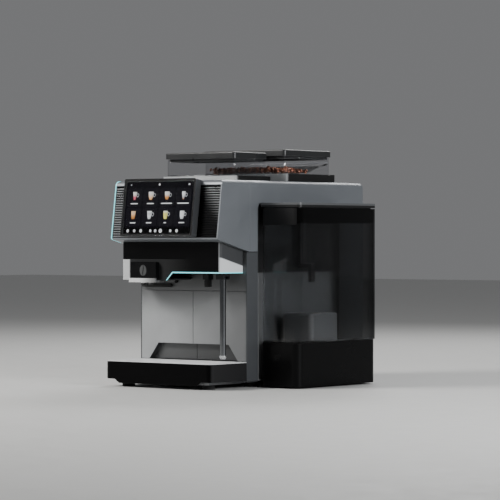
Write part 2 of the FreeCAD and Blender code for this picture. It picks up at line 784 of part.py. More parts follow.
frame_parts = []
for sign in (-1, 1):
    x_in = sign * frame_plate_x
    x_out = sign * (frame_plate_x + frame_plate)
    x_flange = sign * (frame_plate_x - 16)
    frame_parts.append(block(min(x_in, x_out), max(x_in, x_out), frame_front, frame_back, floor_z, frame_top))
    frame_parts.append(block(min(x_in, x_flange), max(x_in, x_flange), frame_back - frame_plate, frame_back,
                             floor_z, frame_top))
frame_parts.append(block(-frame_plate_x, frame_plate_x, frame_front, frame_back,
                         shelf_z, shelf_z + frame_plate))
inner_frame = join(frame_parts)
screws = []
for screw_x, screw_z in screw_spots:
    inner_frame = inner_frame.cut(drum(screw_x, frame_back - 10, screw_z, screw_shank_radius + 0.2, 20,
                                       (0, 1, 0)))
    shank_start = frame_back - frame_plate - 3
    screws.append(join([drum(screw_x, shank_start, screw_z, screw_shank_radius,
                             body_back - panel_wall - shank_start, (0, 1, 0)),
                        drum(screw_x, body_back - panel_wall, screw_z, screw_head_radius,
                             panel_wall - 0.2, (0, 1, 0))]))
inner_frame = inner_frame.cut(drum(coffee_boiler_x, outlet_line_y, shelf_z - 5,
                                   hose_radius + hose_hole_gap + 0.5, 20))
save("inner_frame", inner_frame)
save("case_screws", *screws)

# ---------------------------------------------------------------- water tank and its dock
dock_x = half - panel_wall - tank_bay_depth
dock_low_z = floor_z + 0.2
dock_front = column_depth + 0.3
dock_back = tank_bay_back - 0.3
dock_top = tank_bay_top - 0.3
dock_corner = tank_bay_corner - 0.3
dock_outline = rectangle(dock_front, dock_back, dock_low_z, dock_top)
dock_room = rectangle(dock_front + panel_wall, dock_back - panel_wall,
                      dock_low_z + panel_wall, dock_top - panel_wall)
dock = side_prism(dock_outline, dock_x, half, [0, 0, dock_corner, dock_corner])
dock = dock.cut(side_prism(dock_room, dock_x + panel_wall, half + 5,
                           [0, 0, dock_corner - panel_wall, dock_corner - panel_wall]))
dock = dock.cut(drum(dock_x - 5, valve_y, tank_line_z, hose_radius + hose_hole_gap, 20, (1, 0, 0)))
save("tank_dock", dock)

base_left = half + 0.3
tank_base = post(base_left, tank_right - 2, tank_front - 2, tank_back, tank_base_low_z, tank_floor_z - 1, 18)
tank_base = tank_base.cut(post(base_left + 3, tank_right - 5, tank_front + 1, tank_back - 3,
                               tank_base_low_z + 3, tank_floor_z - 4, 15))
tank_base = tank_base.cut(drum(valve_x, valve_y, tank_floor_z - 10, valve_radius + 1.0, 20))
tank_base = tank_base.fuse(ring(valve_x, valve_y, tank_floor_z - 22, valve_radius + 4,
                                valve_radius + 1.0, 20))
tank_base = tank_base.fuse(block(valve_x - 20, valve_x + 20, valve_y - 20, valve_y + 20,
                                 tank_line_z - 9, tank_floor_z - 22))
tank_base = tank_base.cut(drum(base_left - 5, valve_y, tank_line_z, hose_radius + hose_hole_gap, 20,
                               (1, 0, 0)))
save("tank_base", tank_base.removeSplitter())

tank = post(tank_left, tank_right, tank_front, tank_back, tank_floor_z, tank_rim_z, tank_corner_radius)
tank = tank.cut(post(tank_left + tank_wall, tank_right - tank_wall, tank_front + tank_wall,
                     tank_back - tank_wall, tank_floor_z + tank_wall, tank_rim_z + 5,
                     tank_corner_radius - tank_wall))
tank = tank.cut(drum(valve_x, valve_y, tank_floor_z - 5, valve_radius - 3, 20))
save("tank_body", tank)
valve = ring(valve_x, valve_y, tank_floor_z - 14, valve_radius, 4.0, 14.0)
save("tank_valve", valve)
grip = post(tank_left, tank_right, tank_front - 3.2, tank_front + 60, tank_grip_low_z, tank_rim_z, 16)
grip = grip.cut(post(tank_left - 20, tank_right + 20, tank_front - 0.3, tank_front + 80,
                     tank_grip_low_z - 5, tank_rim_z + 5, 0.5))
save("tank_grip", grip)
filter_y = tank_front + filter_front_gap
filter_top = tank_floor_z + tank_wall + filter_height
filter_body = post(valve_x - filter_width / 2, valve_x + filter_width / 2, filter_y, filter_y + filter_length,
                   tank_floor_z + tank_wall, filter_top, 12)
filter_body = filter_body.makeFillet(6, [e for e in filter_body.Edges if e.BoundBox.ZMin > filter_top - 0.1])
save("tank_filter", filter_body.cut(drum(valve_x, valve_y, tank_floor_z - 10, valve_radius / 2, 40)))
sensor_y = tank_front + sensor_front_gap
sensor_arm_z = sensor_low_z + 32
sensor = join([
    block(tank_left + tank_wall, tank_left + 16, sensor_y, sensor_y + 14, sensor_arm_z, tank_rim_z - 4),
    block(tank_left + 16, tank_left + 40, sensor_y, sensor_y + 14, sensor_arm_z, sensor_arm_z + 8),
    block(tank_left + 32, tank_left + 40, sensor_y, sensor_y + 14, sensor_low_z, sensor_arm_z)])
save("tank_level_sensor", sensor)
lid_low = tank_rim_z + 2.0
lid = post(tank_left - 1.5, tank_lid_right, tank_front - 4, tank_lid_back, lid_low,
           lid_low + tank_lid_thickness, 10)
lip_left = tank_left + tank_wall + 1
lip_right = tank_right - tank_wall - 1
lip_front = tank_front + tank_wall + 1
lid_lip = post(lip_left, lip_right, lip_front, tank_lid_back - 6, lid_low - 5, lid_low, 9)
lid_lip = lid_lip.cut(post(lip_left + 3, lip_right - 3, lip_front + 3, tank_lid_back - 9,
                           lid_low - 6, lid_low, 7))
hinge_barrel = drum(valve_x - lid_hinge_half, tank_lid_back - lid_hinge_back, lid_low + lid_hinge_radius,
                    lid_hinge_radius, 2 * lid_hinge_half, (1, 0, 0))
save("tank_lid", join([lid, lid_lip, hinge_barrel]))


# ---------------------------------------------------------------- top hoppers
def hopper_frame(x0, x1, y0, y1, floor):
    """Collar that carries a bin on the top panel."""
    outer = post(x0 - frame_margin, x1 + frame_side_extra + frame_margin, y0 - 5, y1 + 5,
                 body_top + 0.2, floor - 0.3, 6)
    inner = post(x0 + 6, x1 - 6, y0 + 6, y1 - 6, body_top - 5, floor + 5, 6)
    return outer.cut(inner)


def hopper_bin(x0, x1, y0, y1, floor, rim, neck_y, rise):
    """Clear bin: four walls, a floor that can climb towards the rear, and a round outlet neck."""
    neck_x = (x0 + x1) / 2.0
    outer = post(x0, x1, y0, y1, floor, rim, 6)
    flat_end = neck_y + bin_neck_radius + 10
    room_outline = [(y0 + bin_wall, floor + bin_wall), (flat_end, floor + bin_wall),
                    (y1 - bin_wall, floor + bin_wall + rise), (y1 - bin_wall, rim + 5),
                    (y0 + bin_wall, rim + 5)]
    room = side_prism(room_outline, x0 + bin_wall, x1 - bin_wall)
    neck = drum(neck_x, neck_y, body_top - 12, bin_neck_radius, floor - body_top + 12.5)
    hole = drum(neck_x, neck_y, body_top - 20, bin_neck_radius - bin_wall, floor - body_top + 30)
    solid = outer.cut(room).fuse(neck).cut(hole)
    if rise > 0:
        below = side_prism([(flat_end, floor - 1), (y1 + 1, floor - 1), (y1 + 1, floor + rise)],
                           x0 + bin_wall, x1 - bin_wall)
        solid = solid.cut(below.common(block(x0, x1, y0, y1 - bin_wall, floor - 1, rim)))
    return solid.removeSplitter()


def hopper_lid(x0, x1, y0, y1, rim):
    """Flat lid with a shallow plug that drops inside the bin."""
    top = rim + bin_lid_thickness
    cap = post(x0 - bin_lid_lip, x1 + bin_lid_lip, y0 - bin_lid_lip, y1 + bin_lid_lip, rim, top, 7)
    cap = cap.makeFillet(2.0, [e for e in cap.Edges if e.BoundBox.ZMin > top - 0.1])
    plug_gap = bin_wall + 1.2
    plug = post(x0 + plug_gap, x1 - plug_gap, y0 + plug_gap, y1 - plug_gap, rim - 6, rim, 4)
    room = plug_gap + 2.8
    hollow = post(x0 + room, x1 - room, y0 + room, y1 - room, rim - 7, rim + 4, 3)
    return join([cap, plug]).cut(hollow)


front_plan = (front_bin_left, front_bin_right, front_bin_front, front_bin_back)
rear_plan = (rear_bin_left, rear_bin_right, rear_bin_front, rear_bin_back)
save("front_hopper_frame", hopper_frame(*front_plan, front_bin_floor))
save("front_hopper_bin", hopper_bin(*front_plan, front_bin_floor, front_bin_rim, front_neck_y, 0.0))
save("front_hopper_lid", hopper_lid(*front_plan, front_bin_rim))
save("rear_hopper_frame", hopper_frame(*rear_plan, rear_bin_floor))
save("rear_hopper_bin", hopper_bin(*rear_plan, rear_bin_floor, rear_bin_rim, rear_neck_y, rear_bin_slope))
save("rear_hopper_lid", hopper_lid(*rear_plan, rear_bin_rim))

# ---------------------------------------------------------------- grinder under the rear hopper
shelf_top = shelf_z + frame_plate
grinder_low = shelf_top + motor_height + grinder_wall
chamber_low = grinder_low + grinder_wall
grinder_top = body_top - grinder_top_gap
motor = join([
    drum(rear_neck_x, rear_neck_y, shelf_top, motor_radius, motor_height),
    block(rear_neck_x - 40, rear_neck_x + 40, rear_neck_y - 30, rear_neck_y + 30, shelf_top, shelf_top + 4),
    drum(rear_neck_x, rear_neck_y, shelf_top + motor_height, 2 * spindle_radius, grinder_wall)])
save("grinder_motor", motor)
chamber_radius = grinder_radius - grinder_wall
housing = drum(rear_neck_x, rear_neck_y, grinder_low, grinder_radius, grinder_top - grinder_low)
housing = housing.cut(drum(rear_neck_x, rear_neck_y, chamber_low, chamber_radius, chamber_height))
housing = housing.cut(drum(rear_neck_x, rear_neck_y, grinder_low - 4, spindle_radius + spindle_gap, 20))
housing = housing.cut(drum(rear_neck_x, rear_neck_y, chamber_low, bin_neck_radius - bin_wall, far))
chute_low = chamber_low + 6
chute_room = chute_half - chute_wall
chute_end = rear_neck_x + chute_reach
chute = block(rear_neck_x + 30, chute_end, rear_neck_y - chute_half, rear_neck_y + chute_half,
              chute_low, chute_low + chute_height)
chute_hole = block(rear_neck_x + 20, chute_end - chute_wall,
                   rear_neck_y - chute_room, rear_neck_y + chute_room,
                   chute_low + chute_wall, chute_low + chute_height - chute_wall)
chute_mouth = block(rear_neck_x + grinder_radius + 0.5, chute_end - chute_wall,
                    rear_neck_y - chute_room, rear_neck_y + chute_room, chute_low - 6, chute_low + 14)
save("grinder_housing", housing.fuse(chute).cut(chute_hole).cut(chute_mouth).removeSplitter())
burr_low = chamber_low + 2
burr = join([
    drum(rear_neck_x, rear_neck_y, grinder_low + 0.6, spindle_radius, burr_low - grinder_low - 0.6),
    Part.makeCone(burr_low_radius, burr_high_radius, burr_height,
                  Vector(rear_neck_x, rear_neck_y, burr_low))])
flute_place = burr_low_radius + 1.5
for flute in range(burr_flutes):
    angle = 2 * math.pi * flute / burr_flutes
    burr = burr.cut(drum(rear_neck_x + flute_place * math.cos(angle),
                         rear_neck_y + flute_place * math.sin(angle), chamber_low, 4.0, 40))
save("grinding_burr", burr)

# ---------------------------------------------------------------- brew unit behind the service cover
brew_left = brew_x - brew_half
brew_right = brew_x + brew_half
bridge_z = 224.0
cheek = 4.0
brew_frame = join([
    block(brew_left, brew_right, brew_y - 45, brew_y + 45, floor_z, floor_z + 5),
    block(brew_left, brew_left + cheek, brew_y - 45, brew_y + 45, floor_z, bridge_z + cheek),
    block(brew_right - cheek, brew_right, brew_y - 45, brew_y + 45, floor_z, bridge_z + cheek),
    block(brew_left, brew_right, brew_y - 20, brew_y + 20, bridge_z, bridge_z + 6),
    block(brew_left, brew_right, brew_y - 40, brew_y + 40, brew_cylinder_low - 6, brew_cylinder_low)])
brew_frame = brew_frame.fuse(drum(brew_x, brew_y, brew_cylinder_low, brew_radius + brew_wall,
                                  brew_cylinder_height))
brew_frame = brew_frame.cut(drum(brew_x, brew_y, brew_cylinder_low + 8, brew_radius,
                                 brew_cylinder_height + 16))
brew_frame = brew_frame.cut(drum(brew_x, brew_y, bridge_z - 24, brew_rod_radius + 0.05, 60))
save("brew_cylinder", brew_frame.removeSplitter())
piston = join([drum(brew_x, brew_y, piston_low, brew_radius - brew_fit, piston_height),
               drum(brew_x, brew_y, piston_low + piston_height, brew_rod_radius, piston_rod)])
save("brew_piston", piston)


# ---------------------------------------------------------------- boilers, pump, electrics
def boiler(x, y, radius, length, foot_radius_in, shoulder):
    """Upright boiler on a round foot, with a port on its top and a rounded upper edge."""
    low = floor_z + boiler_foot
    body = drum(x, y, low, radius, length)
    if shoulder > 0:
        body = body.makeFillet(shoulder, [e for e in body.Edges if e.BoundBox.ZMin > low + length - 0.1])
    foot = drum(x, y, floor_z, radius - foot_radius_in, boiler_foot)
    return join([body, foot, drum(x, y, low + length, boiler_port_radius, boiler_port_length)])


save("coffee_boiler", boiler(coffee_boiler_x, coffee_boiler_y, coffee_boiler_radius,
                             coffee_boiler_length, 8, 4))
save("steam_boiler", boiler(steam_boiler_x, steam_boiler_y, steam_boiler_radius,
                            steam_boiler_length, 10, 0))
pump_z = floor_z + pump_lift
pump_back_x = pump_x - pump_motor_length
pump = join([
    block(pump_back_x + 2, pump_x + 22, pump_y - 25, pump_y + 25, floor_z, floor_z + 6),
    drum(pump_back_x, pump_y, pump_z, pump_motor_radius, pump_motor_length, (1, 0, 0)),
    drum(pump_x, pump_y, pump_z, pump_head_radius, pump_head_length, (1, 0, 0))])
save("water_pump", pump)
supply = [-frame_plate_x + 4, -20, frame_back - 60, frame_back - 8]
save("power_supply", join([
    block(*supply, shelf_top, shelf_top + 60),
    block(supply[0] + 8, supply[1] - 10, supply[2] + 4, supply[3] - 4, shelf_top + 60, shelf_top + 64)]))
board_x = -frame_plate_x + 4
board_thickness = 1.6
board_low = shelf_top + 20
board_parts = [block(board_x, board_x + board_thickness, 180, 340, board_low, board_low + 140)]
chips = ((200, 10, 18), (240, 40, 26), (290, 20, 22), (300, 80, 30), (220, 90, 20))
for chip_y, chip_lift, chip_size in chips:
    chip_z = board_low + chip_lift
    board_parts.append(block(board_x + board_thickness, board_x + 8, chip_y, chip_y + chip_size,
                             chip_z, chip_z + chip_size))
for stud_y in (188.0, 332.0):
    for stud_z in (board_low + 8, board_low + 132):
        board_parts.append(drum(-frame_plate_x, stud_y, stud_z, 3, 4.5, (1, 0, 0)))
save("control_board", join(board_parts))

module_gap = 0.3
module_face = body_back - clear
inlet = rear_block(inlet_width, inlet_height, inlet_z, body_back - 28, module_face, module_gap)
inlet_mouth = front_prism(
    [(inlet_x - 12, inlet_z - 8), (inlet_x + 12, inlet_z - 8), (inlet_x + 12, inlet_z + 4),
     (inlet_x + 7, inlet_z + 8), (inlet_x - 7, inlet_z + 8), (inlet_x - 12, inlet_z + 4)],
    body_back - inlet_depth, body_back + 1)
inlet = inlet.cut(inlet_mouth)
for pin_x in (-7.0, 0.0, 7.0):
    inlet = inlet.fuse(block(inlet_x + pin_x - 1, inlet_x + pin_x + 1, body_back - inlet_depth - seam,
                             body_back - 4, inlet_z - 2, inlet_z + 2))
rocker_half = 7.6
rocker_gap = 0.4
well_depth = 24.0
well = rear_block(switch_width, switch_height, switch_z, body_back - well_depth, module_face, module_gap)
well = well.cut(block(inlet_x - rocker_half - rocker_gap, inlet_x + rocker_half + rocker_gap,
                      body_back - inlet_depth, body_back + 5, switch_z - 12, switch_z + 12))
bridge = block(inlet_x - 9, inlet_x + 9, body_back - well_depth, body_back - panel_wall - seam,
               inlet_z + inlet_height / 2 - 1, switch_z - switch_height / 2 + 1)
save("power_inlet", inlet.fuse([well, bridge]).removeSplitter())
rocker_y = body_back - 7.0
rocker_tilt = 8.0
trunnion_radius = 1.6
trunnion_half = rocker_half + rocker_gap - 0.1
rocker = side_prism([(rocker_y - 3, switch_z - 4), (rocker_y - 3, switch_z + 4),
                     (rocker_y + 2.2, switch_z + 10.6),
                     (rocker_y + 5.0, switch_z + 10.6), (rocker_y + 3.2, switch_z),
                     (rocker_y + 5.0, switch_z - 10.6), (rocker_y + 2.2, switch_z - 10.6)],
                    inlet_x - rocker_half, inlet_x + rocker_half)
rocker.rotate(Vector(inlet_x, rocker_y, switch_z), Vector(1, 0, 0), -rocker_tilt)
trunnions = drum(inlet_x - trunnion_half, rocker_y, switch_z, trunnion_radius, 2 * trunnion_half, (1, 0, 0))
save("power_rocker", join([rocker, trunnions]))

# ---------------------------------------------------------------- inside hoses
coffee_port_z = floor_z + boiler_foot + coffee_boiler_length + boiler_port_length
steam_port_z = floor_z + boiler_foot + steam_boiler_length + boiler_port_length
coffee_turn_z = 205.0
steam_turn_z = 222.0
tank_line = hose([(valve_x - 20, valve_y, tank_line_z), (tank_line_x, valve_y, tank_line_z),
                  (tank_line_x, tank_line_y, tank_line_z), (pump_x + 15, tank_line_y, tank_line_z),
                  (pump_x + 15, pump_y + pump_head_radius + 0.2, tank_line_z)], 10, hose_radius)
boiler_line = hose([(pump_x + pump_head_length, pump_y, pump_z), (boiler_line_x, pump_y, pump_z),
                    (boiler_line_x, coffee_boiler_y, pump_z),
                    (coffee_boiler_x + coffee_boiler_radius, coffee_boiler_y, pump_z)], 12, hose_radius)
coffee_line = hose([(coffee_boiler_x, coffee_boiler_y, coffee_port_z),
                    (coffee_boiler_x, coffee_boiler_y, coffee_turn_z),
                    (coffee_boiler_x, outlet_line_y, coffee_turn_z),
                    (coffee_boiler_x, outlet_line_y, outlet_line_z),
                    (coffee_boiler_x, -50, outlet_line_z)], 14, hose_radius)
steam_line = hose([(steam_boiler_x, steam_boiler_y, steam_port_z),
                   (steam_boiler_x, steam_boiler_y, steam_turn_z),
                   (steam_boiler_x, steam_line_y, steam_turn_z),
                   (steam_boiler_x, steam_line_y, outlet_line_z),
                   (wand_x, steam_line_y, outlet_line_z), (wand_x, wand_y, outlet_line_z),
                   (wand_x, wand_y, head_high_z + seam)], 10, hose_radius)
save("water_hoses", tank_line, boiler_line, coffee_line, steam_line)
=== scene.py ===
"""Looks of a countertop hot coffee vending machine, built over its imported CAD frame. Metres, +Z up."""

import json
import math

import bmesh
import bpy
import numpy as np
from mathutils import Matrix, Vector


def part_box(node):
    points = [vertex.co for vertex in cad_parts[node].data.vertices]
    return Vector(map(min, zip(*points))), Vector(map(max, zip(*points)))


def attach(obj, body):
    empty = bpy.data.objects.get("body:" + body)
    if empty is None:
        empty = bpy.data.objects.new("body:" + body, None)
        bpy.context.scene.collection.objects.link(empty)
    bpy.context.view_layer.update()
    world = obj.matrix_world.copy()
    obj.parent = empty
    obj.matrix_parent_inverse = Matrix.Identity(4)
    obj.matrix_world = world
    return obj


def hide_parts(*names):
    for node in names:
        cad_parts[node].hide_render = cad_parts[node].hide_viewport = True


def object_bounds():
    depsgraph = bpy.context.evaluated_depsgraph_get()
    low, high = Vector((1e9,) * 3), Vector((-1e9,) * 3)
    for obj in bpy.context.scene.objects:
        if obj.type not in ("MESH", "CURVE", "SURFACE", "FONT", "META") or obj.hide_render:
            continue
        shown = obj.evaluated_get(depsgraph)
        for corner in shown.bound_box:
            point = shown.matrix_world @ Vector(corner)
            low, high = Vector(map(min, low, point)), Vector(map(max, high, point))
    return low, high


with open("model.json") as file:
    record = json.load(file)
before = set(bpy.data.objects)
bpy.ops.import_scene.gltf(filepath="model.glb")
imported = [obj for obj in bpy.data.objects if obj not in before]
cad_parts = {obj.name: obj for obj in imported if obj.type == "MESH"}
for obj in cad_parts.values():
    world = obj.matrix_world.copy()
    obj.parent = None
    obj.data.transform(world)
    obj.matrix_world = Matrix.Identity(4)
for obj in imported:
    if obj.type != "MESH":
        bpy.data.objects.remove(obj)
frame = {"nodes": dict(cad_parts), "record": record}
cad_low, cad_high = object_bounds()

# ---------------------------------------------------------------- driving values
SEED = 20
MM = 0.001
CAMERA_PLACE = (3.5238, -4.4557, 0.3221)
CAMERA_AIM = (-0.6225, 0.7826, -0.0047)
CAMERA_LENS = 185.04
MACHINE = "machine"
HOOD_TILT = math.atan2(17.0, 127.0)
NOZZLE_DROP = 4.0
CORNER_HIGHLIGHT = 5.0
HEAD_SHADOW_BAND = 40.0
HEAD_SHADOW_EDGE = 34.0
HEAD_SHADOW_FALL = 0.243
TANK_BAND = 34.0
TANK_SMOKE_LENGTH = 46.0
DOCK_LIGHT_HEIGHT = 146.0
EMBLEM_HALF_WIDTH = 9.5
EMBLEM_HALF_HEIGHT = 12.0
EMBLEM_ROWS = 17
EMBLEM_COLUMNS = 4
INK_LAYER = 0.025
BEAN_COUNT = 900
BEAN_DEPTH = 37.0
BEAN_HEAP = 9.0
FLOOR_HALF = 12.0
FLOOR_GAP = 0.2


# ---------------------------------------------------------------- small helpers
def srgb(red, green, blue):
    """Display colour, 0 to 255, as linear light: ((c + 0.055) / 1.055) to the power 2.4."""
    shares = ((np.array([red, green, blue]) / 255.0 + 0.055) / 1.055) ** 2.4
    return (float(shares[0]), float(shares[1]), float(shares[2]), 1.0)


def put(tree, kind, settings=None, sockets=None):
    """Adds a shader node with its settings and its constant socket values."""
    node = tree.nodes.new(kind)
    for key, value in (settings or {}).items():
        setattr(node, key, value)
    for key, value in (sockets or {}).items():
        node.inputs[key].default_value = value
    return node


def new_group(name, inputs, outputs):
    """A shader node group with named inputs (label, kind, value) and outputs (label, kind)."""
    group = bpy.data.node_groups.new(name, "ShaderNodeTree")
    for label, kind, value in inputs:
        socket = group.interface.new_socket(label, in_out="INPUT", socket_type=kind)
        socket.default_value = value
    for label, kind in outputs:
        group.interface.new_socket(label, in_out="OUTPUT", socket_type=kind)
    return group, put(group, "NodeGroupInput"), put(group, "NodeGroupOutput")


# ---------------------------------------------------------------- shared surface effects
def edge_wear_and_sheen_group():
    """Mask of worn edges, also used for the painted edge highlights on the hopper lids: where a rounded
    normal leaves the real one, broken up by noise.
    """
    group, start, end = new_group(
        "edge_wear_and_sheen",
        [("Width", "NodeSocketFloat", 0.0006), ("Amount", "NodeSocketFloat", 0.5)],
        [("Mask", "NodeSocketFloat")])
    link = group.links.new
    rounded = put(group, "ShaderNodeBevel", {"samples": 4})
    shape = put(group, "ShaderNodeNewGeometry")
    facing = put(group, "ShaderNodeVectorMath", {"operation": "DOT_PRODUCT"})
    turned = put(group, "ShaderNodeMapRange", None, {"From Min": 0.995, "From Max": 0.9})
    place = put(group, "ShaderNodeTexCoord")
    noise = put(group, "ShaderNodeTexNoise", None, {"Scale": 260.0, "Detail": 4.0})
    broken = put(group, "ShaderNodeMapRange", None, {"From Min": 0.42, "From Max": 0.62})
    both = put(group, "ShaderNodeMath", {"operation": "MULTIPLY"})
    scaled = put(group, "ShaderNodeMath", {"operation": "MULTIPLY", "use_clamp": True})
    link(start.outputs["Width"], rounded.inputs["Radius"])
    link(rounded.outputs["Normal"], facing.inputs[0])
    link(shape.outputs["Normal"], facing.inputs[1])
    link(facing.outputs["Value"], turned.inputs["Value"])
    link(place.outputs["Object"], noise.inputs["Vector"])
    link(noise.outputs["Fac"], broken.inputs["Value"])
    link(turned.outputs["Result"], both.inputs[0])
    link(broken.outputs["Result"], both.inputs[1])
    link(both.outputs["Value"], scaled.inputs[0])
    link(start.outputs["Amount"], scaled.inputs[1])
    link(scaled.outputs["Value"], end.inputs["Mask"])
    return group


def grain_group():
    """Fine relief: noise in object space, stretched along one axis for brushed metal."""
    group, start, end = new_group(
        "grain",
        [("Stretch", "NodeSocketVector", (1.0, 1.0, 1.0)), ("Scale", "NodeSocketFloat", 900.0)],
        [("Height", "NodeSocketFloat")])
    link = group.links.new
    place = put(group, "ShaderNodeTexCoord")
    stretched = put(group, "ShaderNodeVectorMath", {"operation": "MULTIPLY"})
    noise = put(group, "ShaderNodeTexNoise", None, {"Detail": 5.0, "Roughness": 0.6})
    link(place.outputs["Object"], stretched.inputs[0])
    link(start.outputs["Stretch"], stretched.inputs[1])
    link(stretched.outputs["Vector"], noise.inputs["Vector"])
    link(start.outputs["Scale"], noise.inputs["Scale"])
    link(noise.outputs["Fac"], end.inputs["Height"])
    return group


def smudge_group():
    """Roughness that wanders between two values in soft patches, as handled surfaces do."""
    group, start, end = new_group(
        "smudge",
        [("Low", "NodeSocketFloat", 0.3), ("High", "NodeSocketFloat", 0.4)],
        [("Roughness", "NodeSocketFloat"), ("Patch", "NodeSocketFloat")])
    link = group.links.new
    place = put(group, "ShaderNodeTexCoord")
    noise = put(group, "ShaderNodeTexNoise", None,
                {"Scale": 22.0, "Detail": 6.0, "Roughness": 0.62, "Distortion": 0.6})
    spread = put(group, "ShaderNodeMapRange", None, {"From Min": 0.3, "From Max": 0.7})
    link(place.outputs["Object"], noise.inputs["Vector"])
    link(noise.outputs["Fac"], spread.inputs["Value"])
    link(start.outputs["Low"], spread.inputs["To Min"])
    link(start.outputs["High"], spread.inputs["To Max"])
    link(spread.outputs["Result"], end.inputs["Roughness"])
    link(noise.outputs["Fac"], end.inputs["Patch"])
    return group


def dust_group():
    """Mask of settled dust: faces that look up, broken up by coarse and fine noise."""
    group, start, end = new_group(
        "dust", [("Amount", "NodeSocketFloat", 0.1)], [("Mask", "NodeSocketFloat")])
    link = group.links.new
    place = put(group, "ShaderNodeTexCoord")
    shape = put(group, "ShaderNodeNewGeometry")
    apart = put(group, "ShaderNodeSeparateXYZ")
    upward = put(group, "ShaderNodeMapRange", None, {"From Min": 0.5, "From Max": 0.98})
    noise = put(group, "ShaderNodeTexNoise", None, {"Scale": 60.0, "Detail": 8.0, "Roughness": 0.7})
    flecks = put(group, "ShaderNodeMapRange", None, {"From Min": 0.4, "From Max": 0.75})
    both = put(group, "ShaderNodeMath", {"operation": "MULTIPLY"})
    scaled = put(group, "ShaderNodeMath", {"operation": "MULTIPLY", "use_clamp": True})
    link(shape.outputs["Normal"], apart.inputs["Vector"])
    link(apart.outputs["Z"], upward.inputs["Value"])
    link(place.outputs["Object"], noise.inputs["Vector"])
    link(noise.outputs["Fac"], flecks.inputs["Value"])
    link(upward.outputs["Result"], both.inputs[0])
    link(flecks.outputs["Result"], both.inputs[1])
    link(both.outputs["Value"], scaled.inputs[0])
    link(start.outputs["Amount"], scaled.inputs[1])
    link(scaled.outputs["Value"], end.inputs["Mask"])
    return group


EDGE_WEAR_AND_SHEEN = edge_wear_and_sheen_group()
GRAIN = grain_group()
SMUDGE = smudge_group()
DUST = dust_group()


# ---------------------------------------------------------------- materials
def start_material(name):
    """An empty material with its Principled shader and its output."""
    made = bpy.data.materials.new(name)
    made.use_nodes = True
    tree = made.node_tree
    tree.nodes.clear()
    surface = put(tree, "ShaderNodeBsdfPrincipled")
    end = put(tree, "ShaderNodeOutputMaterial")
    tree.links.new(surface.outputs["BSDF"], end.inputs["Surface"])
    return made, tree, surface


def use_group(tree, group, sockets):
    """Places a shared node group with its constant values."""
    node = put(tree, "ShaderNodeGroup", {"node_tree": group})
    for key, value in sockets.items():
        node.inputs[key].default_value = value
    return node


def blend_colours(tree, factor, first, second):
    """Mix of two colours; each may be a socket or a constant."""
    node = put(tree, "ShaderNodeMix", {"data_type": "RGBA"})
    tree.links.new(factor, node.inputs["Factor"])
    for label, value in (("A", first), ("B", second)):
        socket = [s for s in node.inputs if s.name == label and s.type == "RGBA"][0]
        if isinstance(value, bpy.types.NodeSocket):
            tree.links.new(value, socket)
        else:
            socket.default_value = value
    return [s for s in node.outputs if s.type == "RGBA"][0]


def add_relief(tree, surface, scale, stretch, strength, distance):
    """Grain relief into the shader's normal."""
    grain = use_group(tree, GRAIN, {"Stretch": stretch, "Scale": scale})
    bump = put(tree, "ShaderNodeBump", None, {"Strength": strength, "Distance": distance})
    tree.links.new(grain.outputs["Height"], bump.inputs["Height"])
    tree.links.new(bump.outputs["Normal"], surface.inputs["Normal"])
    return grain


def finish(name, base, rough, metal=0.0, coat=0.0, shift=0.16, wear_and_sheen_colour=None, wear_and_sheen_amount=0.35, dust=0.12,
           scale=900.0, stretch=(1.0, 1.0, 1.0), relief=0.12, depth=0.0002, shine=0.5):
    """Opaque finish: patchy tone, lighter edges (edge wear, and on the hopper lids a painted edge
    highlight), dust, wandering roughness and fine relief.
    """
    made, tree, surface = start_material(name)
    smudge = use_group(tree, SMUDGE, {"Low": rough * 0.85, "High": min(1.0, rough * 1.25)})
    edges = use_group(tree, EDGE_WEAR_AND_SHEEN, {"Width": 0.0007, "Amount": wear_and_sheen_amount})
    settled = use_group(tree, DUST, {"Amount": dust})
    deeper = tuple(c * (1.0 - shift) for c in base[:3]) + (1.0,)
    lighter = tuple(min(1.0, c * (1.0 + shift)) for c in base[:3]) + (1.0,)
    wear_and_sheen_colour = wear_and_sheen_colour or tuple(min(1.0, c * 1.6 + 0.05) for c in base[:3]) + (1.0,)
    grain = add_relief(tree, surface, scale, stretch, relief, depth)
    tone = blend_colours(tree, smudge.outputs["Patch"], deeper, lighter)
    speckle = blend_colours(tree, grain.outputs["Height"], tone, base)
    with_wear_and_sheen = blend_colours(tree, edges.outputs["Mask"], speckle, wear_and_sheen_colour)
    with_dust = blend_colours(tree, settled.outputs["Mask"], with_wear_and_sheen, srgb(178, 174, 168))
    tree.links.new(with_dust, surface.inputs["Base Color"])
    tree.links.new(smudge.outputs["Roughness"], surface.inputs["Roughness"])
    surface.inputs["Metallic"].default_value = metal
    surface.inputs["Coat Weight"].default_value = coat
    surface.inputs["Specular IOR Level"].default_value = shine
    surface.inputs["Coat Roughness"].default_value = 0.12
    return made


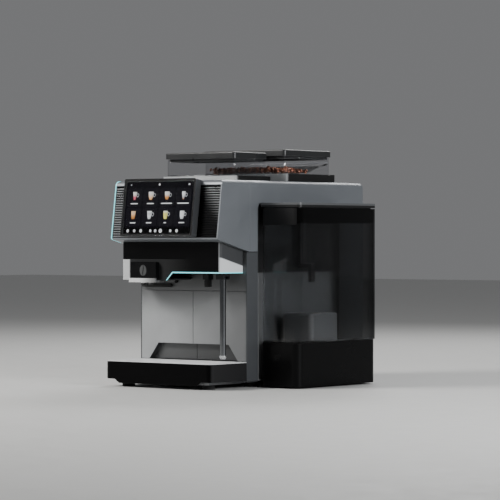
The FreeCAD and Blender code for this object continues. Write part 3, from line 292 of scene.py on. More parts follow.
def clear_plastic(name, tint, rough, shade_pass, relief=0.03, index=1.46):
    """Clear or smoked plastic that still lets light reach what is behind it."""
    made, tree, surface = start_material(name)
    smudge = use_group(tree, SMUDGE, {"Low": rough, "High": rough * 2.2 + 0.02})
    edges = use_group(tree, EDGE_WEAR_AND_SHEEN, {"Width": 0.0006, "Amount": 0.35})
    settled = use_group(tree, DUST, {"Amount": 0.05})
    add_relief(tree, surface, 300.0, (1.0, 1.0, 1.0), relief, 0.0001)
    brighter = tuple(min(1.0, c * 1.15 + 0.04) for c in tint[:3]) + (1.0,)
    rim = blend_colours(tree, edges.outputs["Mask"], tint, brighter)
    dusty = blend_colours(tree, settled.outputs["Mask"], rim, brighter)
    tree.links.new(dusty, surface.inputs["Base Color"])
    tree.links.new(smudge.outputs["Roughness"], surface.inputs["Roughness"])
    surface.inputs["Transmission Weight"].default_value = 1.0
    surface.inputs["IOR"].default_value = index
    path = put(tree, "ShaderNodeLightPath")
    alpha = put(tree, "ShaderNodeMapRange", None, {"To Min": 1.0, "To Max": 1.0 - shade_pass})
    tree.links.new(path.outputs["Is Shadow Ray"], alpha.inputs["Value"])
    tree.links.new(alpha.outputs["Result"], surface.inputs["Alpha"])
    return made


def glowing(name, colour, strength, rough=0.3):
    """Light strip: a diffuser that glows a little unevenly along its length."""
    made, tree, surface = start_material(name)
    smudge = use_group(tree, SMUDGE, {"Low": rough * 0.8, "High": rough * 1.3})
    add_relief(tree, surface, 500.0, (1.0, 1.0, 1.0), 0.08, 0.0001)
    dimmer = tuple(c * 0.8 for c in colour[:3]) + (1.0,)
    tone = blend_colours(tree, smudge.outputs["Patch"], dimmer, colour)
    tree.links.new(tone, surface.inputs["Base Color"])
    tree.links.new(tone, surface.inputs["Emission Color"])
    tree.links.new(smudge.outputs["Roughness"], surface.inputs["Roughness"])
    surface.inputs["Emission Strength"].default_value = strength
    return made


def screen_ink():
    """Lit marks on the display: the colour comes from the mesh's Tint attribute."""
    made, tree, surface = start_material("screen_ink")
    tint = put(tree, "ShaderNodeAttribute", {"attribute_name": "Tint"})
    smudge = use_group(tree, SMUDGE, {"Low": 0.3, "High": 0.5})
    add_relief(tree, surface, 1200.0, (1.0, 1.0, 1.0), 0.02, 0.00005)
    tree.links.new(tint.outputs["Color"], surface.inputs["Emission Color"])
    tree.links.new(smudge.outputs["Roughness"], surface.inputs["Roughness"])
    surface.inputs["Base Color"].default_value = (0.0, 0.0, 0.0, 1.0)
    surface.inputs["Emission Strength"].default_value = 1.0
    surface.inputs["Specular IOR Level"].default_value = 0.01
    return made


def position_axes(tree):
    """X, Y and Z of the object-space point as three sockets."""
    place = put(tree, "ShaderNodeTexCoord")
    apart = put(tree, "ShaderNodeSeparateXYZ")
    tree.links.new(place.outputs["Object"], apart.inputs["Vector"])
    return apart.outputs["X"], apart.outputs["Y"], apart.outputs["Z"]


def ramp(tree, value, low, high, first=0.0, last=1.0):
    """Smooth rise from first at low to last at high."""
    node = put(tree, "ShaderNodeMapRange", {"interpolation_type": "SMOOTHSTEP"},
               {"From Min": low, "From Max": high, "To Min": first, "To Max": last})
    tree.links.new(value, node.inputs["Value"])
    return node.outputs["Result"]


def combine(tree, kind, first, second):
    """Arithmetic on two values; each may be a socket or a constant."""
    node = put(tree, "ShaderNodeMath", {"operation": kind})
    for index, value in enumerate((first, second)):
        if isinstance(value, bpy.types.NodeSocket):
            tree.links.new(value, node.inputs[index])
        else:
            node.inputs[index].default_value = value
    return node.outputs["Value"]


def overlay(made, mask_of, colour, rough=None):
    """Lays a second colour over a finished material where a mask built from position is one."""
    tree = made.node_tree
    surface = [n for n in tree.nodes if n.type == "BSDF_PRINCIPLED"][0]
    mask = mask_of(tree)
    under = surface.inputs["Base Color"].links[0].from_socket
    tree.links.new(blend_colours(tree, mask, under, colour), surface.inputs["Base Color"])
    if rough is not None:
        before = surface.inputs["Roughness"].links[0].from_socket
        eased = combine(tree, "MULTIPLY", mask, rough)
        kept = combine(tree, "MULTIPLY", combine(tree, "SUBTRACT", 1.0, mask), before)
        tree.links.new(combine(tree, "ADD", eased, kept), surface.inputs["Roughness"])
    return made


STEEL_WORN = srgb(214, 216, 218)
SURFACES = {
    "hood_paint": finish("hood_paint", srgb(118, 122, 127), 0.40, 0.35, 0.15, 0.06, wear_and_sheen_amount=0.25,
                         scale=2200.0, relief=0.06),
    "side_paint": finish("side_paint", srgb(117, 121, 126), 0.42, 0.35, 0.12, 0.07, wear_and_sheen_amount=0.25,
                         scale=2200.0, relief=0.06),
    "column_dark": finish("column_dark", srgb(74, 76, 79), 0.42, 0.2, 0.05, 0.08, scale=1500.0),
    "silver_panel": finish("silver_panel", srgb(176, 178, 180), 0.36, 0.6, 0.1, 0.08, wear_and_sheen_amount=0.2,
                           scale=1800.0, relief=0.06),
    "ribs": finish("ribs", srgb(132, 134, 136), 0.3, 1.0, 0.0, 0.06, wear_and_sheen_colour=STEEL_WORN, wear_and_sheen_amount=0.2,
                   scale=700.0, stretch=(0.06, 1.0, 1.0), relief=0.04),
    "gloss_black": finish("gloss_black", srgb(14, 14, 15), 0.16, 0.0, 0.04, 0.2, wear_and_sheen_amount=0.1, dust=0.05,
                          scale=500.0, relief=0.02, shine=0.22),
    "satin_black": finish("satin_black", srgb(18, 18, 19), 0.4, 0.0, 0.0, 0.15, wear_and_sheen_amount=0.15, dust=0.08,
                          scale=1600.0, relief=0.1, shine=0.25),
    "display_body": finish("display_body", srgb(88, 90, 93), 0.34, 0.6, 0.0, 0.08, wear_and_sheen_amount=0.3,
                           scale=1500.0, relief=0.05),
    "display_glass": clear_plastic("display_glass", (0.94, 0.95, 0.96, 1.0), 0.01, 0.9, 0.0, 1.1),
    "display_lcd": finish("display_lcd", srgb(22, 23, 27), 0.3, 0.0, 0.0, 0.05, wear_and_sheen_amount=0.0, dust=0.0,
                          scale=3000.0, relief=0.02),
    "light_cyan": glowing("light_cyan", (0.2, 0.68, 0.76, 1.0), 1.15),
    "bright_steel": finish("bright_steel", srgb(205, 206, 208), 0.24, 1.0, 0.0, 0.08, wear_and_sheen_colour=STEEL_WORN,
                           dust=0.05, scale=700.0, stretch=(0.04, 1.0, 1.0), relief=0.16),
    "chrome": finish("chrome", srgb(108, 110, 113), 0.12, 1.0, 0.0, 0.04, wear_and_sheen_colour=STEEL_WORN, wear_and_sheen_amount=0.2,
                     dust=0.03, scale=400.0, stretch=(1.0, 1.0, 0.2), relief=0.03),
    "white_trim": finish("white_trim", srgb(228, 229, 230), 0.32, 0.0, 0.2, 0.04, dust=0.05, relief=0.05),
    "rubber": finish("rubber", srgb(20, 20, 21), 0.8, 0.0, 0.0, 0.2, wear_and_sheen_amount=0.15, relief=0.3),
    "clear_bin": clear_plastic("clear_bin", (0.86, 0.86, 0.87, 1.0), 0.03, 0.85, 0.03, 1.2),
    "tank_clear": clear_plastic("tank_clear", (0.7, 0.71, 0.72, 1.0), 0.02, 0.6, 0.02, 1.3),
    "lid_grey": finish("lid_grey", srgb(66, 67, 68), 0.34, 0.1, 0.15, 0.06, wear_and_sheen_amount=0.5, dust=0.12,
                       relief=0.06),
    "filter_grey": finish("filter_grey", srgb(72, 73, 75), 0.4, 0.0, 0.0, 0.1, relief=0.15),
    "sheet_steel": finish("sheet_steel", srgb(150, 152, 155), 0.4, 1.0, 0.0, 0.12, wear_and_sheen_colour=STEEL_WORN,
                          stretch=(1.0, 0.1, 1.0), relief=0.12),
    "boiler_steel": finish("boiler_steel", srgb(190, 190, 190), 0.28, 1.0, 0.0, 0.1, wear_and_sheen_colour=STEEL_WORN,
                           stretch=(1.0, 1.0, 0.08), relief=0.14),
    "brass": finish("brass", srgb(196, 160, 92), 0.3, 1.0, 0.0, 0.12, relief=0.1),
    "motor_dark": finish("motor_dark", srgb(52, 54, 58), 0.45, 0.5, 0.0, 0.12, relief=0.15),
    "board_green": finish("board_green", srgb(26, 84, 52), 0.4, 0.0, 0.2, 0.1, relief=0.08),
    "hose_silicone": finish("hose_silicone", srgb(206, 204, 198), 0.5, 0.0, 0.1, 0.06, relief=0.05),
    "screw_steel": finish("screw_steel", srgb(170, 172, 175), 0.3, 1.0, 0.0, 0.1, wear_and_sheen_colour=STEEL_WORN,
                          relief=0.1),
    "burr_steel": finish("burr_steel", srgb(140, 142, 146), 0.25, 1.0, 0.0, 0.1, wear_and_sheen_colour=STEEL_WORN,
                         relief=0.12),
}
SURFACES["screen_ink"] = screen_ink()


def groove_painted_shade(tree):
    """Painted shade in the grooves between the ribs: one where depth behind the fascia's front passes the
    rib tops.
    """
    low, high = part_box("ribbed_fascia")
    x, y, z = position_axes(tree)
    depth = combine(tree, "SUBTRACT",
                    combine(tree, "MULTIPLY", combine(tree, "SUBTRACT", y, low.y), math.cos(HOOD_TILT)),
                    combine(tree, "MULTIPLY", combine(tree, "SUBTRACT", z, low.z), math.sin(HOOD_TILT)))
    return ramp(tree, depth, 0.4 * MM, 1.5 * MM)


def rib_painted_shadow(tree):
    """Painted shadow of the display housing: darkens the ribs right of the display, below a line that falls
    towards the right.
    """
    screen_low, screen_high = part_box("display_glass")
    x, y, z = position_axes(tree)
    beyond = ramp(tree, x, screen_high.x - 2 * MM, screen_high.x)
    fall = combine(tree, "ADD",
                   combine(tree, "MULTIPLY", combine(tree, "SUBTRACT", x, screen_high.x), 0.76),
                   combine(tree, "MULTIPLY", combine(tree, "SUBTRACT", z, screen_high.z - 20 * MM), 0.64))
    return combine(tree, "MULTIPLY", beyond, ramp(tree, fall, -12 * MM, 30 * MM, 0.985, 0.3))


def head_front_painted_shadow(tree):
    """Painted shadow of the hood on the dispense head's silver front: its upper band whole, its lower part
    from left inwards.
    """
    low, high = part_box("dispense_head")
    x, y, z = position_axes(tree)
    inner = combine(tree, "ADD", ramp(tree, x, low.x + 22 * MM, low.x + 27 * MM, 0.3, 0.968),
                    ramp(tree, x, low.x + 90 * MM, high.x - 60 * MM, 0.0, 0.032))
    band = ramp(tree, z, high.z - HEAD_SHADOW_BAND * MM, high.z - (HEAD_SHADOW_BAND - 3) * MM)
    front = combine(tree, "MAXIMUM", inner, band)
    return combine(tree, "MULTIPLY", front, ramp(tree, x, high.x - 6 * MM, high.x - 2 * MM, 1.0, 0.0))


def head_side_painted_shadow(tree):
    """Painted shadow of the hood: grey upper part of the dispense head's right side, above a line that falls
    to the rear.
    """
    low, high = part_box("dispense_head")
    x, y, z = position_axes(tree)
    back = combine(tree, "SUBTRACT", y, low.y)
    drop = combine(tree, "ADD", z, combine(tree, "MULTIPLY", back, HEAD_SHADOW_FALL))
    upper = ramp(tree, drop, high.z - HEAD_SHADOW_EDGE * MM, high.z - (HEAD_SHADOW_EDGE - 3) * MM)
    return combine(tree, "MULTIPLY", upper, ramp(tree, x, high.x - 6 * MM, high.x - 2 * MM))


def bay_painted_shadow(tree):
    """Painted shadow of the dispense head: the bay's back wall darkens towards its top and its right."""
    low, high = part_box("bay_upper_panel")
    x, y, z = position_axes(tree)
    up = ramp(tree, z, low.z - 70 * MM, low.z + 24 * MM, 0.0, 0.8)
    right = ramp(tree, x, low.x + 50 * MM, high.x, 0.0, 0.6)
    return combine(tree, "MAXIMUM", up, right)


def pocket_painted_shade(tree):
    """Painted shade in the finger recess behind the bay panels' front."""
    low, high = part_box("drawer_front")
    x, y, z = position_axes(tree)
    return ramp(tree, y, low.y + 0.6 * MM, low.y + 2.5 * MM)


def nozzle_dark_and_painted_shade(tree):
    """One on the nozzles under the spout carriage's plate, and painted shade easing in towards the plate's
    right end.
    """
    low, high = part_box("spout_carriage")
    x, y, z = position_axes(tree)
    below = ramp(tree, z, low.z + NOZZLE_DROP * MM, low.z + (NOZZLE_DROP + 0.6) * MM, 1.0, 0.0)
    right = ramp(tree, x, low.x + 24 * MM, high.x, 0.0, 0.8)
    return combine(tree, "MAXIMUM", below, right)


def side_facing(tree):
    """One on faces that look to the machine's right, where painted shade and painted light are laid."""
    shape = put(tree, "ShaderNodeNewGeometry")
    apart = put(tree, "ShaderNodeSeparateXYZ")
    tree.links.new(shape.outputs["Normal"], apart.inputs["Vector"])
    return ramp(tree, apart.outputs["X"], 0.6, 0.85)


def front_facing(tree):
    """One on faces that look to the front."""
    shape = put(tree, "ShaderNodeNewGeometry")
    apart = put(tree, "ShaderNodeSeparateXYZ")
    tree.links.new(shape.outputs["Normal"], apart.inputs["Vector"])
    return ramp(tree, apart.outputs["Y"], -0.985, -0.9, 1.0, 0.0)


def tank_smoke(tree):
    """The tank is smoked darker towards its rear end and above its fill line."""
    low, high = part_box("tank_body")
    x, y, z = position_axes(tree)
    rear = ramp(tree, y, high.y - TANK_SMOKE_LENGTH * MM, high.y - 4 * MM, 0.0, 0.9)
    top = ramp(tree, z, high.z - TANK_BAND * MM, high.z - (TANK_BAND - 4) * MM, 0.0, 0.93)
    return combine(tree, "MAXIMUM", rear, top)


def tank_corner_painted_highlight(tree):
    """Painted highlight: thin bright line down the tank's front right upright edge, where the two walls
    meet.
    """
    low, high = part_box("tank_body")
    x, y, z = position_axes(tree)
    near_x = ramp(tree, x, high.x - CORNER_HIGHLIGHT * MM, high.x - 0.6 * CORNER_HIGHLIGHT * MM)
    near_y = ramp(tree, y, low.y + 0.6 * CORNER_HIGHLIGHT * MM, low.y + CORNER_HIGHLIGHT * MM, 1.0, 0.0)
    return combine(tree, "MULTIPLY", near_x, near_y)


def dock_shade(tree):
    """Lower, lighter part of the wall behind the water tank."""
    low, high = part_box("tank_body")
    x, y, z = position_axes(tree)
    return ramp(tree, z, low.z + DOCK_LIGHT_HEIGHT * MM, low.z + (DOCK_LIGHT_HEIGHT + 4) * MM, 1.0, 0.0)


def lid_painted_gap_shadow(tree):
    """Painted shadow of the gap: dark below the top few millimetres of the tank lid's edge."""
    low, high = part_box("tank_lid")
    x, y, z = position_axes(tree)
    return ramp(tree, z, high.z - 5 * MM, high.z - 4 * MM, 1.0, 0.0)


# Near-black of the painted shadow on the dispense head's front.
HEAD_SHADOW_BLACK = srgb(5, 5, 6)
# Painted shade: the grooves between the ribs darkened to near black.
overlay(SURFACES["ribs"], groove_painted_shade, srgb(9, 9, 10), 0.5)
# Painted shadow: the display housing's shadow on the ribs to its right.
overlay(SURFACES["ribs"], rib_painted_shadow, srgb(16, 16, 17))
# Painted shadow: the hood's shadow darkens the upper part of the dispense head's right side.
SURFACES["head_panel"] = overlay(
    finish("head_panel", srgb(226, 228, 230), 0.38, 0.0, 0.0, 0.06, wear_and_sheen_amount=0.2, scale=1800.0, relief=0.06,
           shine=0.2),
    head_side_painted_shadow, srgb(66, 67, 69))
# Painted shadow: near-black laid over the head's silver front where the hood's shadow falls.
overlay(SURFACES["head_panel"], head_front_painted_shadow, HEAD_SHADOW_BLACK, 0.2)
# Painted shade: darker silver inside the finger recess.
overlay(SURFACES["silver_panel"], pocket_painted_shade, srgb(96, 97, 98))
# Painted shadow: the bay's back wall darkened under and right of the dispense head.
overlay(SURFACES["silver_panel"], bay_painted_shadow, srgb(30, 30, 31))
overlay(SURFACES["tank_clear"], tank_smoke, srgb(24, 24, 26))
# Painted highlight: near-white line down the tank's front-right edge.
overlay(SURFACES["tank_clear"], tank_corner_painted_highlight, srgb(235, 236, 238))
overlay(SURFACES["display_body"], front_facing, srgb(10, 10, 11))
# Painted shade: the collar's right-facing faces are darkened, its front stays light.
SURFACES["hopper_collar"] = overlay(
    finish("hopper_collar", srgb(188, 190, 191), 0.32, 0.3, 0.1, 0.06, wear_and_sheen_amount=0.3, relief=0.06),
    side_facing, srgb(26, 26, 27))
SURFACES["dock_wall"] = overlay(
    finish("dock_wall", srgb(15, 15, 16), 0.5, 0.0, 0.0, 0.1, wear_and_sheen_amount=0.1, relief=0.1), dock_shade,
    srgb(104, 105, 106))
# Painted shadow: the gap under the lid is painted dark on the lid edge's lower part.
SURFACES["tank_lid_edge"] = overlay(
    finish("tank_lid_edge", srgb(88, 90, 92), 0.34, 0.1, 0.1, 0.06, wear_and_sheen_amount=0.35, dust=0.15, relief=0.06),
    lid_painted_gap_shadow, srgb(20, 20, 21))
SURFACES["deep_black"] = finish("deep_black", srgb(5, 5, 6), 0.3, 0.0, 0.0, 0.15, wear_and_sheen_amount=0.08, dust=0.03,
                                scale=1600.0, relief=0.05, shine=0.12)
# Painted highlight: the strong edge amount with a light edge colour paints bright highlights along the
# hopper lids' edges.
SURFACES["lid_dark"] = finish("lid_dark", srgb(40, 41, 42), 0.3, 0.1, 0.1, 0.06, wear_and_sheen_amount=0.9, dust=0.08,
                              wear_and_sheen_colour=srgb(176, 178, 180), relief=0.05)
# Painted light: the tray's right-facing sides are laid lighter than its black front, as lit and shaded tones
# of one dark finish.
SURFACES["tray_black"] = overlay(
    finish("tray_black", srgb(2, 2, 3), 0.34, 0.0, 0.0, 0.15, wear_and_sheen_amount=0.08, dust=0.03, scale=1600.0,
           relief=0.05, shine=0.06), side_facing, srgb(40, 40, 41))
# Darker nozzles below the plate, plus painted shade easing in towards the carriage's right end.
SURFACES["carriage_trim"] = overlay(
    finish("carriage_trim", srgb(216, 217, 218), 0.32, 0.0, 0.2, 0.04, dust=0.05, relief=0.05),
    nozzle_dark_and_painted_shade, srgb(34, 34, 35))
SURFACES["grid_steel"] = finish("grid_steel", srgb(236, 237, 238), 0.34, 0.1, 0.0, 0.08, wear_and_sheen_colour=STEEL_WORN,
                                dust=0.05, scale=700.0, stretch=(0.04, 1.0, 1.0), relief=0.16)
SPECIAL = {
    "spout_carriage": "carriage_trim", "drip_grid": "grid_steel",
    "tray_surround": "tray_black", "tank_base": "deep_black",
    "front_hopper_lid": "lid_dark", "rear_hopper_lid": "lid_dark",
    "dispense_head": "head_panel", "tank_dock": "dock_wall", "tank_lid": "tank_lid_edge",
    "front_hopper_frame": "hopper_collar", "rear_hopper_frame": "hopper_collar",
}
SURFACES["bean"] = finish("bean", srgb(128, 78, 58), 0.34, 0.0, 0.25, 0.35, wear_and_sheen_colour=srgb(150, 104, 76),
                          wear_and_sheen_amount=0.3, dust=0.0, scale=420.0, relief=0.3, depth=0.0006)


# ---------------------------------------------------------------- CAD nodes and their finishes
SLOT_OF = {part["node"]: part["material_slot"] for part in frame["record"]["subparts"]}

BEVELS = {
    "head_hood": 0.8, "left_side_panel": 0.6, "right_side_panel": 0.6, "top_panel": 0.5,
    "rear_panel": 0.4, "left_column": 0.5, "right_column": 0.5, "ribbed_fascia": 0.15,
    "display_housing": 0.6, "display_glass": 0.4, "dispense_head": 0.8, "hot_water_outlet": 0.4,
    "steam_socket": 0.5, "bay_upper_panel": 0.4, "drip_edge": 0.5, "tank_dock": 0.5, "tank_base": 0.9,
    "front_hopper_frame": 0.6, "front_hopper_bin": 0.5, "rear_hopper_frame": 0.6,
    "rear_hopper_bin": 0.5, "spout_carriage": 0.5, "spout_cover": 0.7, "steam_wand": 0.3,
    "steam_tip": 0.3, "drawer_front": 0.5, "service_cover": 0.5, "tray_surround": 0.8,
    "drip_basin": 0.4, "drip_grid": 0.3, "tank_body": 0.8, "tank_grip": 0.5, "tank_filter": 0.6,
    "tank_level_sensor": 0.6, "tank_lid": 0.8, "front_hopper_lid": 0.6, "rear_hopper_lid": 0.6,
    "rubber_feet": 0.6, "power_inlet": 0.4, "power_rocker": 0.4, "cup_sensor": 0.4,
    "edge_light": 0.2, "dispense_light": 0.2, "display_screen": 0.2,
}
BODY_OF = {node: body for body, nodes in frame["record"]["behaviour"]["bodies"].items() for node in nodes}


def refined(node, width):
    """Copy of a CAD node: triangles merged, large faces split again, sharp edges rounded off."""
    source = frame["nodes"][node]
    mesh = source.data.copy()
    mesh.name = node + "_skin"
    work = bmesh.new()
    work.from_mesh(mesh)
    bmesh.ops.remove_doubles(work, verts=work.verts, dist=2e-6)
    bmesh.ops.dissolve_limit(work, angle_limit=math.radians(0.6), verts=work.verts, edges=work.edges)
    bmesh.ops.triangulate(work, faces=[face for face in work.faces if len(face.verts) > 4])
    bmesh.ops.recalc_face_normals(work, faces=work.faces)
    work.to_mesh(mesh)
    work.free()
    for name in [a.name for a in mesh.attributes if a.name in ("custom_normal", "sharp_face", "sharp_edge")]:
        mesh.attributes.remove(mesh.attributes[name])
    mesh.materials.clear()
    mesh.materials.append(SURFACES[SPECIAL.get(node, SLOT_OF[node])])
    mesh.shade_smooth()
    mesh.set_sharp_from_angle(angle=math.radians(35.0))
    piece = bpy.data.objects.new(node + "_skin", mesh)
    bpy.context.scene.collection.objects.link(piece)
    edge = piece.modifiers.new("rounded", "BEVEL")
    edge.width = width * MM
    edge.segments = 2
    edge.limit_method = "ANGLE"
    edge.angle_limit = math.radians(40.0)
    edge.harden_normals = True
    edge.use_clamp_overlap = True
    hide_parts(node)
    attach(piece, BODY_OF[node])
    return piece


for node, piece in frame["nodes"].items():
    if node in BEVELS:
        refined(node, BEVELS[node])
    else:
        piece.data.materials.clear()
        piece.data.materials.append(SURFACES[SLOT_OF[node]])


# ---------------------------------------------------------------- building surfaces
def add_surface(name, points, faces, slot, body=MACHINE, tint=None, smooth=True):
    """One piece from whole arrays of points and faces, with an optional colour for each point."""
    mesh = bpy.data.meshes.new(name)
    mesh.from_pydata(points.tolist(), [], faces.tolist())
    mesh.update()
    if tint is not None:
        layer = mesh.attributes.new("Tint", "FLOAT_COLOR", "POINT")
        layer.data.foreach_set("color", tint.astype(np.float32).ravel())
    mesh.polygons.foreach_set("use_smooth", [smooth] * len(mesh.polygons))
    mesh.materials.append(SURFACES[slot])
    piece = bpy.data.objects.new(name, mesh)
    bpy.context.scene.collection.objects.link(piece)
    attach(piece, body)
    return piece


def grid_faces(rows, columns, close_columns=False):
    """Quads of a grid of rows by columns, numbered row by row; columns can close on themselves."""
    spans = columns if close_columns else columns - 1
    row, column = np.meshgrid(np.arange(rows - 1), np.arange(spans), indexing="ij")
    after = (column + 1) % columns
    corners = [row * columns + column, row * columns + after,
               (row + 1) * columns + after, (row + 1) * columns + column]
    return np.stack([c.ravel() for c in corners], axis=1)


class Ink:
    """Flat lit marks gathered into one mesh on the display's own plane."""

    def __init__(self, node):
        """Reads the plane of the display from the CAD node: its lower and upper front edges."""
        spots = np.array([v.co for v in frame["nodes"][node].data.vertices])
        low = spots[np.argmin(spots[:, 1])]
        high = spots[np.argmax(spots[:, 2])]
        self.left = spots[:, 0].min()
        self.right = spots[:, 0].max()
        self.origin = np.array([self.left, low[1], low[2]])
        self.up = np.array([0.0, high[1] - low[1], high[2] - low[2]])
        self.height = np.linalg.norm(self.up)
        self.width = self.right - self.left
        self.up = self.up / self.height
        self.out = np.cross(np.array([1.0, 0.0, 0.0]), self.up)
        self.points, self.faces, self.tints, self.count = [], [], [], 0

    def add(self, across, up, layer, colour, faces):
        """Marks at (across, up) millimetres from the lower left, a number of layers off the plane."""
        flat = np.stack([across.ravel(), up.ravel()], axis=1) * MM
        lift = layer * INK_LAYER * MM
        spots = (self.origin + flat[:, :1] * np.array([1.0, 0.0, 0.0]) + flat[:, 1:] * self.up
                 + lift * self.out)
        self.points.append(spots)
        self.faces.append(faces + self.count)
        colour = np.broadcast_to(np.asarray(colour, float), (len(spots), 4))
        self.tints.append(colour)
        self.count += len(spots)

    def disc(self, x, y, half_width, half_height, colour, layer=3, power=2.0, inner=0.0):
        """Superellipse: radius r out to 1, |cos a| and |sin a| each to the power 2 / power."""
        angle = np.linspace(0.0, 2.0 * np.pi, 33)[:-1]
        radius = np.linspace(inner, 1.0, 3)[:, None]
        across = np.sign(np.cos(angle)) * np.abs(np.cos(angle)) ** (2.0 / power)
        up = np.sign(np.sin(angle)) * np.abs(np.sin(angle)) ** (2.0 / power)
        self.add(x + radius * across * half_width, y + radius * up * half_height, layer, colour,
                 grid_faces(3, 32, True))

    def vessel(self, x, y, height, widths, colours, layer=4):
        """Cup silhouette: half width is interpolated up its height, and so is its colour."""
        rows = 13
        share = np.linspace(0.0, 1.0, rows)[:, None]
        half = np.interp(share[:, 0], np.linspace(0, 1, len(widths)), widths)[:, None]
        across = x + np.linspace(-1.0, 1.0, 7)[None, :] * half
        up = y + share * height + np.zeros((1, 7))
        stops = np.linspace(0, 1, len(colours))
        tone = np.stack([np.interp(share[:, 0], stops, np.array(colours)[:, i]) for i in range(4)], axis=1)
        shade = 1.0 - 0.35 * np.linspace(-0.2, 1.0, 7)[None, :, None] ** 2
        tint = tone[:, None, :] * shade
        self.add(across, up, layer, tint.reshape(-1, 4), grid_faces(rows, 7))


ink = Ink("display_screen")
W_MM = ink.width / MM
H_MM = ink.height / MM
WHITE = (0.95, 0.96, 0.97, 1.0)
SOFT = (0.62, 0.64, 0.66, 1.0)
TILE = srgb(24, 23, 28)
TILE_EDGE = srgb(38, 38, 44)
PANEL = srgb(14, 13, 18)
BAR = srgb(2, 2, 3)
FOAM = (0.9, 0.86, 0.8, 1.0)
MILK = (0.92, 0.9, 0.86, 1.0)
COFFEE = (0.42, 0.16, 0.05, 1.0)
CARAMEL = (0.88, 0.4, 0.12, 1.0)
PINK = (0.8, 0.16, 0.22, 1.0)
CREAM = (0.97, 0.66, 0.4, 1.0)
LEMON = (0.92, 0.86, 0.22, 1.0)

TILE_COLUMNS = (0.135, 0.378, 0.618, 0.862)
TILE_ROWS = (0.692, 0.322)
ICON_SCALE = 1.15
LABEL_HALF = (0.055, 0.052, 0.082, 0.085, 0.042, 0.04, 0.018, 0.042)
ink.disc(0.5 * W_MM, 0.5 * H_MM, 0.5 * W_MM - 0.1, 0.5 * H_MM - 0.1, PANEL, 1, 40.0)
ink.disc(0.5 * W_MM, 0.055 * H_MM, 0.5 * W_MM - 0.1, 0.062 * H_MM, BAR, 2, 30.0)
for row, height in enumerate(TILE_ROWS):
    for column, place in enumerate(TILE_COLUMNS):
        ink.disc(place * W_MM, height * H_MM, 0.108 * W_MM, 0.175 * H_MM, TILE_EDGE, 2, 9.0)
        ink.disc(place * W_MM, height * H_MM, 0.106 * W_MM, 0.172 * H_MM, TILE, 3, 9.0)
        half = LABEL_HALF[row * 4 + column] * W_MM
        ink.disc(place * W_MM, (height - 0.115) * H_MM, half, 1.1, WHITE, 4, 6.0)
DRINKS = [
    ([2.0, 3.4, 4.2, 5.2], [PINK, PINK, MILK, FOAM], True),
    ([2.6, 5.0, 5.8, 6.2], [CARAMEL, CREAM, FOAM, MILK], True),
    ([2.6, 4.6, 5.4, 5.9], [COFFEE, CARAMEL, MILK, FOAM], True),
    ([1.2, 2.6, 3.8, 4.2], [COFFEE, SOFT, WHITE, WHITE], True),
    ([3.4, 4.4, 5.0, 5.4], [COFFEE, CARAMEL, CREAM, CREAM], False),
    ([2.8, 4.4, 5.4, 5.8], [SOFT, WHITE, SOFT, WHITE], True),
    ([3.2, 4.6, 5.2, 5.4], [LEMON, LEMON, LEMON, MILK], True),
    ([3.2, 4.6, 5.2, 5.4], [SOFT, WHITE, WHITE, WHITE], True),
]
for index, (widths, colours, handle) in enumerate(DRINKS):
    x = TILE_COLUMNS[index % 4] * W_MM
    y = TILE_ROWS[index // 4] * H_MM
    ink.vessel(x, y - 5.0, 17.5, [w * ICON_SCALE for w in widths], colours)
    if handle:
        ink.disc(x + widths[-1] * ICON_SCALE + 2.4, y + 5.2, 3.2, 4.2, SOFT, 3.6, 2.0, 0.72)
for place, size, tone in ((0.07, 1.8, SOFT), (0.493, 2.3, WHITE), (0.935, 2.5, SOFT)):
    ink.disc(place * W_MM, 0.938 * H_MM, size, size * 0.8, tone, 4, 3.0)
ink.disc(0.493 * W_MM, 0.955 * H_MM, 1.1, 1.6, WHITE, 4, 2.0)
for place, size in ((0.072, 3.4), (0.17, 3.2), (0.268, 3.6), (0.412, 3.0), (0.485, 3.2), (0.562, 4.4),
                    (0.71, 3.0), (0.803, 3.4)):
    ink.disc(place * W_MM, 0.052 * H_MM, size, size, WHITE, 3, 2.0)
    ink.disc(place * W_MM, 0.052 * H_MM, size * 0.42, size * 0.42, SOFT, 4, 3.0)
add_surface("screen_marks", np.concatenate(ink.points), np.concatenate(ink.faces), "screen_ink",
            tint=np.concatenate(ink.tints), smooth=False)


# ---------------------------------------------------------------- coffee beans in the rear hopper
def bean_shape():
    """Bean: ellipsoid, its lower half times 0.45, plus a crease 0.21 exp(-(5 y)^2) in that half."""
    rows, columns = 6, 9
    polar = np.linspace(0.0, np.pi, rows)[:, None]
    around = np.linspace(0.0, 2.0 * np.pi, columns + 1)[:-1][None, :]
    x = np.cos(polar) + np.zeros_like(around)
    y = np.sin(polar) * np.cos(around)
    z = np.sin(polar) * np.sin(around)
    z = np.where(z < 0.0, z * 0.45, z)
    z = z + 0.21 * np.exp(-(y * 5.0) ** 2) * (z < 0.0)
    spots = np.stack([x * 4.6, y * 3.3, z * 2.9], axis=-1).reshape(-1, 3) * MM
    return spots, grid_faces(rows, columns, True)


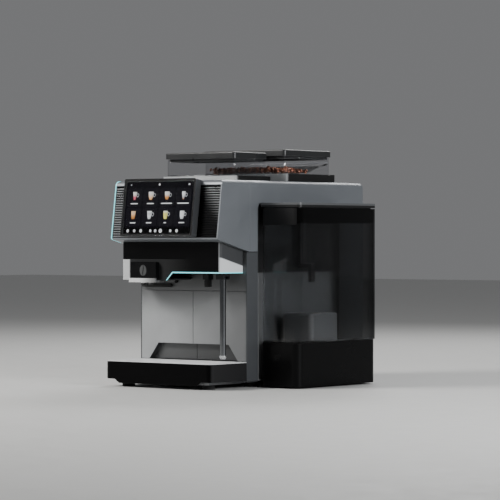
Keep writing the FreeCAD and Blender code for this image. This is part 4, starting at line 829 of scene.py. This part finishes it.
def heap(count, low, high, floor, rise, rng):
    """Beans at random places and turns over a rectangle, in layers that thin out to the rear."""
    spots, faces = bean_shape()
    centre = np.stack([rng.uniform(low[0], high[0], count), rng.uniform(low[1], high[1], count)], axis=1)
    share = (centre[:, 1] - low[1]) / (high[1] - low[1])
    lift = floor + 2.6 * MM + rng.random(count) * rise * (1.0 - 0.55 * share)
    turn = rng.uniform(0.0, 2.0 * np.pi, (count, 3))
    cx, cy, cz = np.cos(turn).T
    sx, sy, sz = np.sin(turn).T
    spin = np.stack([
        np.stack([cy * cz, sx * sy * cz - cx * sz, cx * sy * cz + sx * sz], axis=1),
        np.stack([cy * sz, sx * sy * sz + cx * cz, cx * sy * sz - sx * cz], axis=1),
        np.stack([-sy, sx * cy, cx * cy], axis=1)], axis=1)
    placed = np.einsum("nij,kj->nki", spin, spots)
    placed += np.concatenate([centre, lift[:, None]], axis=1)[:, None, :]
    every = faces[None, :, :] + (np.arange(count) * len(spots))[:, None, None]
    return placed.reshape(-1, 3), every.reshape(-1, 4)


rng = np.random.default_rng(SEED)
bin_low, bin_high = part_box("rear_hopper_bin")
bean_floor = bin_high.z - BEAN_DEPTH * MM
bean_points, bean_faces = heap(
    BEAN_COUNT, (bin_low.x + 8 * MM, bin_low.y + 8 * MM), (bin_high.x - 8 * MM, bin_low.y + 92 * MM),
    bean_floor, BEAN_HEAP * MM, rng)
add_surface("coffee_beans", bean_points, bean_faces, "bean")


# ---------------------------------------------------------------- emblem on the spout cover
def emblem():
    """Generic bean mark: two half ellipses parted by an S curve, x = a sin, z = b cos."""
    low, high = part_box("spout_cover")
    centre = np.array([(low.x + high.x) / 2, low.y - 0.02 * MM, (low.z + high.z) / 2 - 1 * MM])
    share = np.linspace(-1.0, 1.0, EMBLEM_ROWS)[:, None]
    across = np.linspace(0.12, 1.0, EMBLEM_COLUMNS)[None, :]
    wave = 0.9 * np.sin(share * np.pi)
    reach = np.sqrt(np.clip(1.0 - share ** 2, 0.0, 1.0))
    every, faces = [], []
    for side in (-1.0, 1.0):
        x = wave * (1.0 - across) + side * across * reach * EMBLEM_HALF_WIDTH
        z = share * EMBLEM_HALF_HEIGHT + np.zeros_like(across)
        spots = np.stack([x, np.zeros_like(x), z], axis=-1).reshape(-1, 3) * MM + centre
        quads = grid_faces(EMBLEM_ROWS, EMBLEM_COLUMNS)
        faces.append((quads if side > 0 else quads[:, ::-1]) + len(every) * len(spots))
        every.append(spots)
    return np.concatenate(every), np.concatenate(faces)


emblem_points, emblem_faces = emblem()
add_surface("spout_emblem", emblem_points, emblem_faces, "lid_grey", "coffee_spout")

# ---------------------------------------------------------------- floor, light and camera
floor_material = finish("floor", srgb(214, 214, 212), 0.55, 0.0, 0.0, 0.03, wear_and_sheen_amount=0.0, dust=0.0,
                        scale=40.0, relief=0.03)
floor_mesh = bpy.data.meshes.new("floor")
floor_z = cad_low.z - FLOOR_GAP * MM
floor_corners = [(-FLOOR_HALF, -FLOOR_HALF, floor_z), (FLOOR_HALF, -FLOOR_HALF, floor_z),
                 (FLOOR_HALF, FLOOR_HALF, floor_z), (-FLOOR_HALF, FLOOR_HALF, floor_z)]
floor_mesh.from_pydata(floor_corners, [], [(0, 1, 2, 3)])
floor_mesh.materials.append(floor_material)
floor = bpy.data.objects.new("floor", floor_mesh)
bpy.context.scene.collection.objects.link(floor)

world = bpy.data.worlds.new("studio")
world.use_nodes = True
world.node_tree.nodes["Background"].inputs["Color"].default_value = (0.9, 0.91, 0.93, 1.0)
world.node_tree.nodes["Background"].inputs["Strength"].default_value = 0.2
bpy.context.scene.world = world


def soft_light(name, place, aim, size, power, colour=(1.0, 1.0, 1.0)):
    """Rectangular soft light at a place, turned towards a point."""
    data = bpy.data.lights.new(name, "AREA")
    data.shape = "RECTANGLE"
    data.size, data.size_y = size
    data.energy = power
    data.color = colour
    lamp = bpy.data.objects.new(name, data)
    lamp.location = place
    lamp.rotation_mode = "QUATERNION"
    lamp.rotation_quaternion = (Vector(aim) - Vector(place)).to_track_quat("-Z", "Y")
    bpy.context.scene.collection.objects.link(lamp)


soft_light("key_light", (-1.5, -2.1, 1.9), (0.0, -0.1, 0.2), (1.1, 0.9), 92.0, (1.0, 0.985, 0.96))
soft_light("side_light", (2.7, -0.3, 1.0), (0.1, 0.1, 0.35), (1.0, 0.8), 48.0, (0.97, 0.985, 1.0))
soft_light("back_light", (-0.8, 2.4, 2.2), (0.0, 0.1, 0.4), (1.8, 0.8), 45.0)

camera_data = bpy.data.cameras.new("camera")
camera_data.lens = CAMERA_LENS
camera_data.sensor_width = 36.0
camera_data.clip_start = 0.05
camera_data.clip_end = 60.0
camera = bpy.data.objects.new("camera", camera_data)
camera.location = CAMERA_PLACE
camera.rotation_mode = "QUATERNION"
camera.rotation_quaternion = Vector(CAMERA_AIM).to_track_quat("-Z", "Y")
bpy.context.scene.collection.objects.link(camera)
bpy.context.scene.camera = camera
